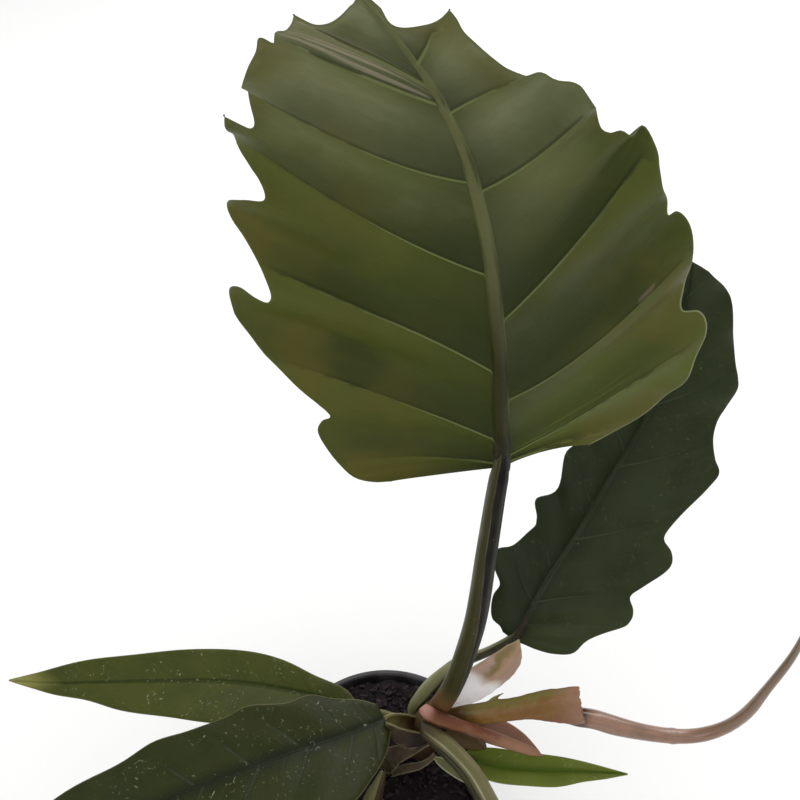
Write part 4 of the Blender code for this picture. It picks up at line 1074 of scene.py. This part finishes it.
# Leaf 6: grows towards the viewer on its channelled stalk, toothed like the
# two large ones but half their size.
leaf_6 = blade(
    "leaf_6_front",
    midrib=[(58, -96, 152), (59, -116, 158), (61, -140, 160), (63, -166, 154), (65, -190, 140), (66, -208, 122)],
    up=(0, -0.3, 1), fold=(10, 10),
    plus=[(-5, 14), (4, 25), (20, 34), (30, 31), (48, 37), (58, 33), (76, 34), (86, 28), (102, 24), (112, 16),
          (122, 7)],
    minus=[(-5, 13), (3, 24), (17, 33), (27, 31), (44, 38), (55, 34), (72, 36), (83, 29), (99, 25), (110, 17),
           (122, 7)],
    fan=[(-3, -0.1), (-3, -0.1)],
    veins=([(1, 0.4), (12, 0.6), (30, 0.75), (50, 0.8), (72, 0.85), (94, 0.9), (112, 1.1)],
           [(1, 0.4), (13, 0.6), (31, 0.75), (52, 0.8), (74, 0.85), (96, 0.9), (113, 1.1)]),
    quilt=0.9, wave=(1.8, 36), rib=[(0, 2.8, 2.2), (0.5, 1.8, 1.2), (1, 0.8, 0.4)], step=1.5)
leaf_6.data.materials.append(leaf_skin(
    "front_leaf_skin", upper=((44, 52, 28), (52, 60, 36), (64, 74, 48), (54, 60, 38)),
    under=((66, 72, 34), (76, 80, 42), (104, 108, 64), (76, 64, 40)), margin=(110, 108, 76), glow=(120, 140, 30),
    dust=0.3, rough=0.42, gleam=0.06, crease_shade=0.8))
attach(leaf_6, "root")
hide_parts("leaf_6")

# The fleshy bracts at the crown. Each wrapped a leaf while it grew, then
# split, bent aside and kept its pink-brown flush.
def bract(name, midrib, up, plus, minus, grain=0.8, thick=0.8, cuts=4, **more):
    """A small blade, made of triangles about as large as its grain."""
    return blade(name, midrib, up, plus, minus, thick=thick, step=grain, gap=grain, cuts=cuts, **more)


def bract_skin(name, plain, back, foot, edge, foot_length, edge_width, rough=0.4, see=0.12, streak=0.4, glow=0.0,
               spots=0.0, gloss=0.0, zones=()):
    """Skin of a bract: fine lines along it, one colour on its foot and one along its edges. see is the share of
    light let through, glow how far that light is white. Zones are as on a leaf."""
    skin = Skin(name)
    along, across = skin.kept("along"), skin.kept("across")
    lines = skin.lines(along * 0.07, across * 1.1)
    patch = skin.place(clouding, Size=9.0, Sharp=0.3)
    skin.colour = skin.mix(patch, plain, back)
    skin.coat(lines.fade(0.35, 0.7) * streak, 0.6 * seen(plain))
    for tint, share, *limits in zones:
        skin.coat(where(skin, limits, (patch - 0.5) * 2.0) * share, tint)
    skin.coat(along.fade(foot_length * 0.2, foot_length, 0.85, 0.0), foot)
    skin.coat(skin.kept("edge").fade(0.1, edge_width, 0.8, 0.0), edge)
    if spots:
        skin.coat(skin.place(specks, Spacing=2.4, Size=0.16, Share=0.4) * spots, 0.35 * seen(plain))
    through = skin.mix(glow, skin.colour, WHITE) if glow else np.minimum(2.4 * seen(plain), 1.0)
    return skin.finish(lines.fade(0.2, 0.8, rough - 0.08, rough + 0.1), lines, 0.22, through, see,
                       Coat_Weight=gloss, Coat_Roughness=0.2, Specular_IOR_Level=0.25)


strap_front = bract(
    "bract_strap_front",
    midrib=[(18.8, 3.6, 135.4), (21.4, 1, 133.6), (28.5, -0.9, 130), (39, -2.2, 125), (50, -3, 119.4),
            (62, -3.9, 113.6), (77, -5, 105.4)],
    up=(0, -0.6, 0.8), curl=(-70, -70), half=4,
    plus=[(0, 3), (1.5, 5.2), (7, 6.2), (16, 4.4), (40, 3.6), (60, 2.4)],
    minus=[(0, 1.6), (2, 3), (8, 4), (40, 3.6), (60, 2.4)], grain=0.9)
strap_front.data.materials.append(bract_skin(
    "pink_strap_skin", (120, 74, 48), (132, 88, 60), (188, 140, 126), (140, 102, 76), foot_length=8, gloss=0.1,
    edge_width=0.8,
    zones=(((104, 58, 38), 0.9, ("across", 0.5, -1.5)),
           ((66, 42, 26), 0.8, ("across", 1.6, 3.4), ("along", 44, 34)), ((166, 124, 96), 0.9, ("along", 34, 54)))))
strap_back = bract(
    "bract_strap_back", midrib=[(43, 6.8, 110.2), (56, 7.6, 107.6), (68, 6, 101), (78, 3.6, 92.5)],
    up=(0, -0.6, 0.8), curl=(-40, -40), half=5, plus=[(1, 3.4), (14, 5), (28, 3.2)],
    minus=[(1, 3.4), (14, 5), (28, 3.2)], grain=0.9)
strap_back.data.materials.append(bract_skin(
    "pink_strap_back_skin", (140, 100, 82), (148, 108, 88), (100, 64, 48), (160, 128, 96), foot_length=8,
    edge_width=0.7, zones=(((128, 88, 72), 0.9, ("across", 1, 4)),)))
for piece, node in ((strap_front, "strap_front"), (strap_back, "strap_back")):
    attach(piece, "root")
    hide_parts(node)

# The torn sheath: a tube-like bract that the new leaf has burst. Olive along
# its top edge, red-brown below, ragged and glossy at its open end.
torn = bract(
    "bract_torn", midrib=[(30.6, 6.2, 117.4), (47, 4.6, 122.4), (65, 3, 127.8), (82, 1.4, 136.8), (92, 0, 141.8)],
    up=(0, -0.85, 0.5), curl=(-100, -40), half=13,
    plus=[(2, 6), (12, 4.2), (22, 2.6), (30, 2), (38, 2.2), (44, 4), (50, 7.5), (56, 11), (61, 13), (65, 12)],
    minus=[(2, 6), (10, 7.2), (19.6, 8), (23, 10.6), (27.6, 14.2), (27.6, 14.2), (25.8, 9.8), (27, 9.1), (33, 9.2),
           (48, 10.2), (58, 9.5), (64, 9.4), (67, 9)],
    ragged=1.3, crumple=0.3, seed=2)
torn.data.materials.append(bract_skin(
    "torn_sheath_skin", (132, 96, 42), (126, 86, 40), (64, 40, 20), (110, 80, 44), foot_length=18, gloss=0.2,
    streak=0.25, edge_width=0.6, see=0.08,
    zones=(((112, 106, 52), 0.9, ("across", -4.5, -8)), ((128, 78, 46), 0.9, ("across", 1, 6)),
           ((112, 104, 50), 0.8, ("across", -2, -5), ("along", 46, 34)),
           ((126, 126, 60), 0.9, ("across", -8.5, -11), ("along", 34, 28)),
           ((150, 112, 88), 0.9, ("along", 50, 66)),
           ((146, 98, 92), 0.7, ("along", 42, 46), ("along", 56, 50), ("across", 4, 7)))))
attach(torn, "root")
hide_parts("torn_sheath")

# The pale bract: boat-shaped, thin enough for light to come through, pale and pink inside, olive along its keel.
# Its foot is pale, and is also painted near white as a painted glow for the light shining through it.
boat = bract(
    "bract_pale", midrib=[(30.4, 12.4, 117.2), (45, 16.5, 129), (55, 19, 141), (61.6, 22, 152), (64, 24.2, 159)],
    up=(0.3, -0.8, 0.3), fold=(-14, -14), curl=(-20, -7), half=9,
    plus=[(-2, 4.5), (8, 8), (15, 11.6), (22, 14.2), (32, 14.8), (40, 12), (46, 7.6), (51, 3.4)],
    minus=[(1, 4.4), (16, 9.8), (25, 10.4), (36, 8.8), (44, 7), (51, 4.4)], thick=0.5, grain=0.9, crumple=0.3,
    seed=4, cuts=6)
# Painted light: the foot and the part below 22 mm are near white, for light shining through the thin bract.
boat.data.materials.append(bract_skin(
    "pale_bract_skin", (196, 161, 126), (200, 164, 132), (255, 250, 250), (190, 166, 132), foot_length=14, see=0.5,
    glow=0.38, streak=0.35, rough=0.45, edge_width=0.9,
    zones=(((148, 130, 76), 0.9, ("across", 0, -2.5), ("along", 24, 32)),
           ((194, 161, 130), 0.9, ("across", -4.5, -6.5)), ((190, 158, 142), 0.8, ("across", 3, 9)),
           ((255, 252, 252), 1, ("along", 30, 22)),
           ((206, 178, 166), 0.7, ("across", -3, -6), ("along", 22, 30), ("along", 44, 38)))))
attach(boat, "root")
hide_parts("boat_bract")

# Small olive bracts: one low under the pink straps, one curled over a stalk,
# the open trough that carries leaf 3, and the thin wing on the channelled stalk.
olive = bract(
    "bract_olive", midrib=[(29.5, 3.8, 109.6), (38, 2.2, 106.5), (50, 0.6, 102.1)], up=(0, -0.7, 0.7),
    curl=(-60, -60), half=5, plus=[(1, 3.6), (8, 4.6), (17, 3)], minus=[(1, 3.6), (8, 4.6), (17, 3)])
# For each x: y and z of the trough's back rim, its floor, its front rim and the foot of its front wall.
TROUGH = [(0.4, 6.6, 119.4, 5.6, 118.4, 4.6, 119.6, 4.6, 117.6),
          (2.2, 8.6, 118.9, 6, 115.6, 3.6, 120.2, 2.6, 112.6),
          (4.4, 9.8, 118.2, 6.3, 113.2, 2.8, 120, 1, 108.4),
          (7, 10.4, 117.6, 6.6, 111.6, 2.2, 118.6, 0.2, 106.6),
          (10.4, 10.9, 116.2, 7.2, 109.8, 2.4, 116.6, -0.2, 106),
          (14, 11.4, 113.8, 8.2, 107.6, 3.2, 113.6, 0, 105.4),
          (17.6, 11.8, 110.8, 9.4, 105, 4.2, 111, 0.8, 104.4),
          (20.4, 11.6, 108.4, 9.6, 103.6, 5.6, 108.8, 2.6, 103.6)]
HALF_WALL, MIDDLE_HEIGHT, SLICES, INNER_POINTS = 0.45, 112.0, 40, range(8, 30)
rings, edges, insides, alongs = [], [], [], []
for x in np.linspace(TROUGH[0][0], TROUGH[-1][0], SLICES):
    yb, zb, y0, z0, yf, zf, ys, zs = (read(TROUGH, x, column) for column in range(1, 9))
    loop = [(yb + HALF_WALL, zb - 0.2), (yb, zb + 0.3), (yb - HALF_WALL, zb - 0.2), (yb - 0.9, (zb + z0) / 2),
            (y0, z0), (yf + 1.0, (zf + z0) / 2), (yf + HALF_WALL, zf - 0.3), (yf, zf + 0.2),
            (yf - HALF_WALL, zf - 0.4), (yf * 0.55 + ys * 0.45 - 0.5, zf * 0.5 + zs * 0.5), (ys - 0.3, zs + 0.5),
            (ys + 0.5, zs), (y0 - 1.0, z0 - 1.6), (yb - 0.2, z0 - 0.2), (yb + 0.6, (zb + z0) / 2)]
    closed = eased(loop[-1:] + loop + loop[:2], 4)[4:-4]
    ring = [(x + 0.25 * math.sin(0.9 * j), y, z) for j, (y, z) in enumerate(closed[:-1])]
    rings.append(ring)
    yz = np.array(ring)[:, 1:]
    edges.append(np.minimum(np.hypot(*(yz - (yb, zb)).T), np.hypot(*(yz - (yf, zf)).T)))
    insides.append([10.0 if j in INNER_POINTS else 0.0 for j in range(len(ring))])
    alongs.append([x] * len(ring))
rings = np.array(rings)
trough = wrap("leaf_stalk_3", rings, {"along": np.array(alongs), "across": rings[..., 2] - MIDDLE_HEIGHT,
                                      "edge": np.array(edges), "inside": np.array(insides)})
curled = bract(
    "bract_curled", midrib=[(-0.5, 10, 113.2), (4, 11.3, 113.8), (9.5, 11.7, 111.9)], up=(0, -0.5, 0.9),
    curl=(70, 40), half=3.6, plus=[(1, 2.6), (5, 3.2)], minus=[(1, 1.2), (5, 1.4)], thick=0.7, grain=0.7)
wing = bract(
    "stalk_wing",
    midrib=[(24.4, -5.6, 104.6), (28, -8.8, 106.2), (33, -13.2, 108.4), (38.5, -19, 112.4), (43.4, -27, 117.6)],
    up=(-0.3, -0.3, 0.9), curl=(40, 20), half=4, plus=[(0.5, 0.8), (5, 2.2), (12, 2.9), (20, 3), (30, 1.4)],
    minus=[(0.5, 0.8), (4, 1.8), (12, 2.6), (22, 2.4), (30, 1.4)], thick=0.6, grain=0.7)
trough.data.materials.append(bract_skin(
    "trough_skin", (74, 62, 48), (60, 48, 40), (92, 88, 52), (132, 126, 88), foot_length=3, see=0.05,
    edge_width=1.1,
    zones=(((26, 15, 9), 0.9, ("along", 11, 17)), ((104, 96, 76), 0.85, ("along", 11, 8), ("across", -3.5, -5.5)),
           ((58, 42, 16), 0.95, ("inside", 4, 7)), ((116, 108, 62), 0.9, ("inside", 4, 7), ("along", 12, 4)))))
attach(trough, "root")
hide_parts("petiole_3")
for piece, node, plain, edge in ((olive, "olive_bract", (94, 74, 38), (100, 80, 44)),
                                 (curled, "curled_sheath", (116, 112, 66), (164, 158, 106)),
                                 (wing, "petiole_sheath", (110, 112, 74), (172, 172, 140))):
    piece.data.materials.append(bract_skin(node + "_skin", plain, 0.8 * seen(plain), plain, edge, 4.0, 0.7))
    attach(piece, "root")
    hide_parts(node)

# The dried bracts: papery, greyish brown and wrinkled, what is left of the
# sheaths of older leaves round the foot of the stem.
DRY = (98, 86, 66)
for node, midrib, plus, minus, seed, curl, crumple in (
        ("dried_sheath_1",
         [(23.6, 4.2, 103.6), (19.5, 1.6, 103.6), (13.6, -1.4, 102.2), (8.0, -2.4, 99.6), (3.0, -3.4, 95.4),
          (-0.4, -4.4, 90.0)],
         [(0, 1.0), (9, 1.4), (14, 3.4), (19, 6.0), (24, 7.2), (29, 6.4), (33, 2.6)],
         [(0, 1.7), (6, 1.3), (12, 1.6), (18, 2.3), (24, 3.3), (29, 3.4), (33, 1.6)], 1.0, (-40, -15), 1.5),
        ("dried_sheath_2",
         [(25.0, -0.4, 98.0), (21.0, -3.0, 95.8), (16.5, -4.3, 94.7), (11.6, -4.8, 93.5), (7.4, -5.2, 91.8),
          (4.0, -5.8, 89.2)],
         [(0, 1.2), (8, 1.5), (16, 2.0), (21, 1.6), (25, 0.6)],
         [(0, 1.2), (6, 1.3), (11, 2.2), (18, 2.2), (23, 1.4), (26, 0.8)], 3.0, (-40, -40), 0.8)):
    piece = bract("dry_" + node, midrib, (0, -0.4, 0.9), plus, minus, grain=0.6, thick=0.5, curl=curl, half=5.0,
                  ragged=1.6, crumple=crumple, seed=seed)
    piece.data.materials.append(bract_skin(
        node + "_skin", DRY, (70, 58, 44), (88, 80, 52), (124, 112, 90), 9.0, 0.8, rough=0.7, streak=0.6, spots=0.4,
        zones=((0.55 * seen(DRY), 0.9, ("across", 2.4, 0.4)),)))
    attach(piece, "root")
    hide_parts(node)

# The newest leaf, still rolled tight into a long whip. It pushes out of the
# torn sheath, sags, and turns up at its tip. Its skin is glossy pink-brown.
def rolled(angle, along):
    """Round, with the free edge of the rolled blade as a low step winding along it, and one thicker ring."""
    lap = (angle + along * 0.035 + 2.0) % (2 * np.pi)
    return 1 + 0.07 * np.exp(-lap / 0.35) + 0.10 * dip(along, 60, 1.6)


whip = stalk(
    "rolled_new_leaf",
    [(80, 7, 127.4), (87, 5.2, 126.6), (93.3, 3.5, 126.2), (98.6, 2.5, 126.5), (108, 0.6, 124.8),
     (116, -0.8, 123.2), (131, -2, 120), (149, -3, 120.6), (161, -4, 130), (168, -4, 143), (172, -4, 161),
     (177, -3, 183), (178, -2, 207), (176, -1, 222)],
    [4, 4.6, 4.6, 3.9, 3.5, 3.3, 2.8, 2.6, 2.05, 1.9, 1.6, 1.1, 0.4], around=40, step=1, form=rolled)
glossy = Skin("rolled_leaf_skin")
along, side = glossy.kept("along"), glossy.kept("side")
lines = glossy.lines(along * 0.05, side * 4.0, glossy.kept("front") * 4.0)
glossy.colour = glossy.mix(glossy.place(clouding, Size=11.0, Sharp=0.4), (150, 112, 92), (128, 98, 74))
glossy.coat(along.fade(60.0, 150.0), (112, 94, 70))
# Painted shade: the whip is dark red-brown where it lies in the shadow of the torn sheath's mouth.
glossy.coat(along.fade(16.0, 19.0, 0.95, 0.0), (66, 26, 14))
glossy.coat(lines.fade(0.4, 0.65) * 0.5, (104, 76, 60))
whip.data.materials.append(glossy.finish(
    lines.fade(0.2, 0.8, 0.2, 0.32), lines, 0.15, Coat_Weight=0.5, Coat_Roughness=0.07))
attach(whip, "root")
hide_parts("rolled_leaf")
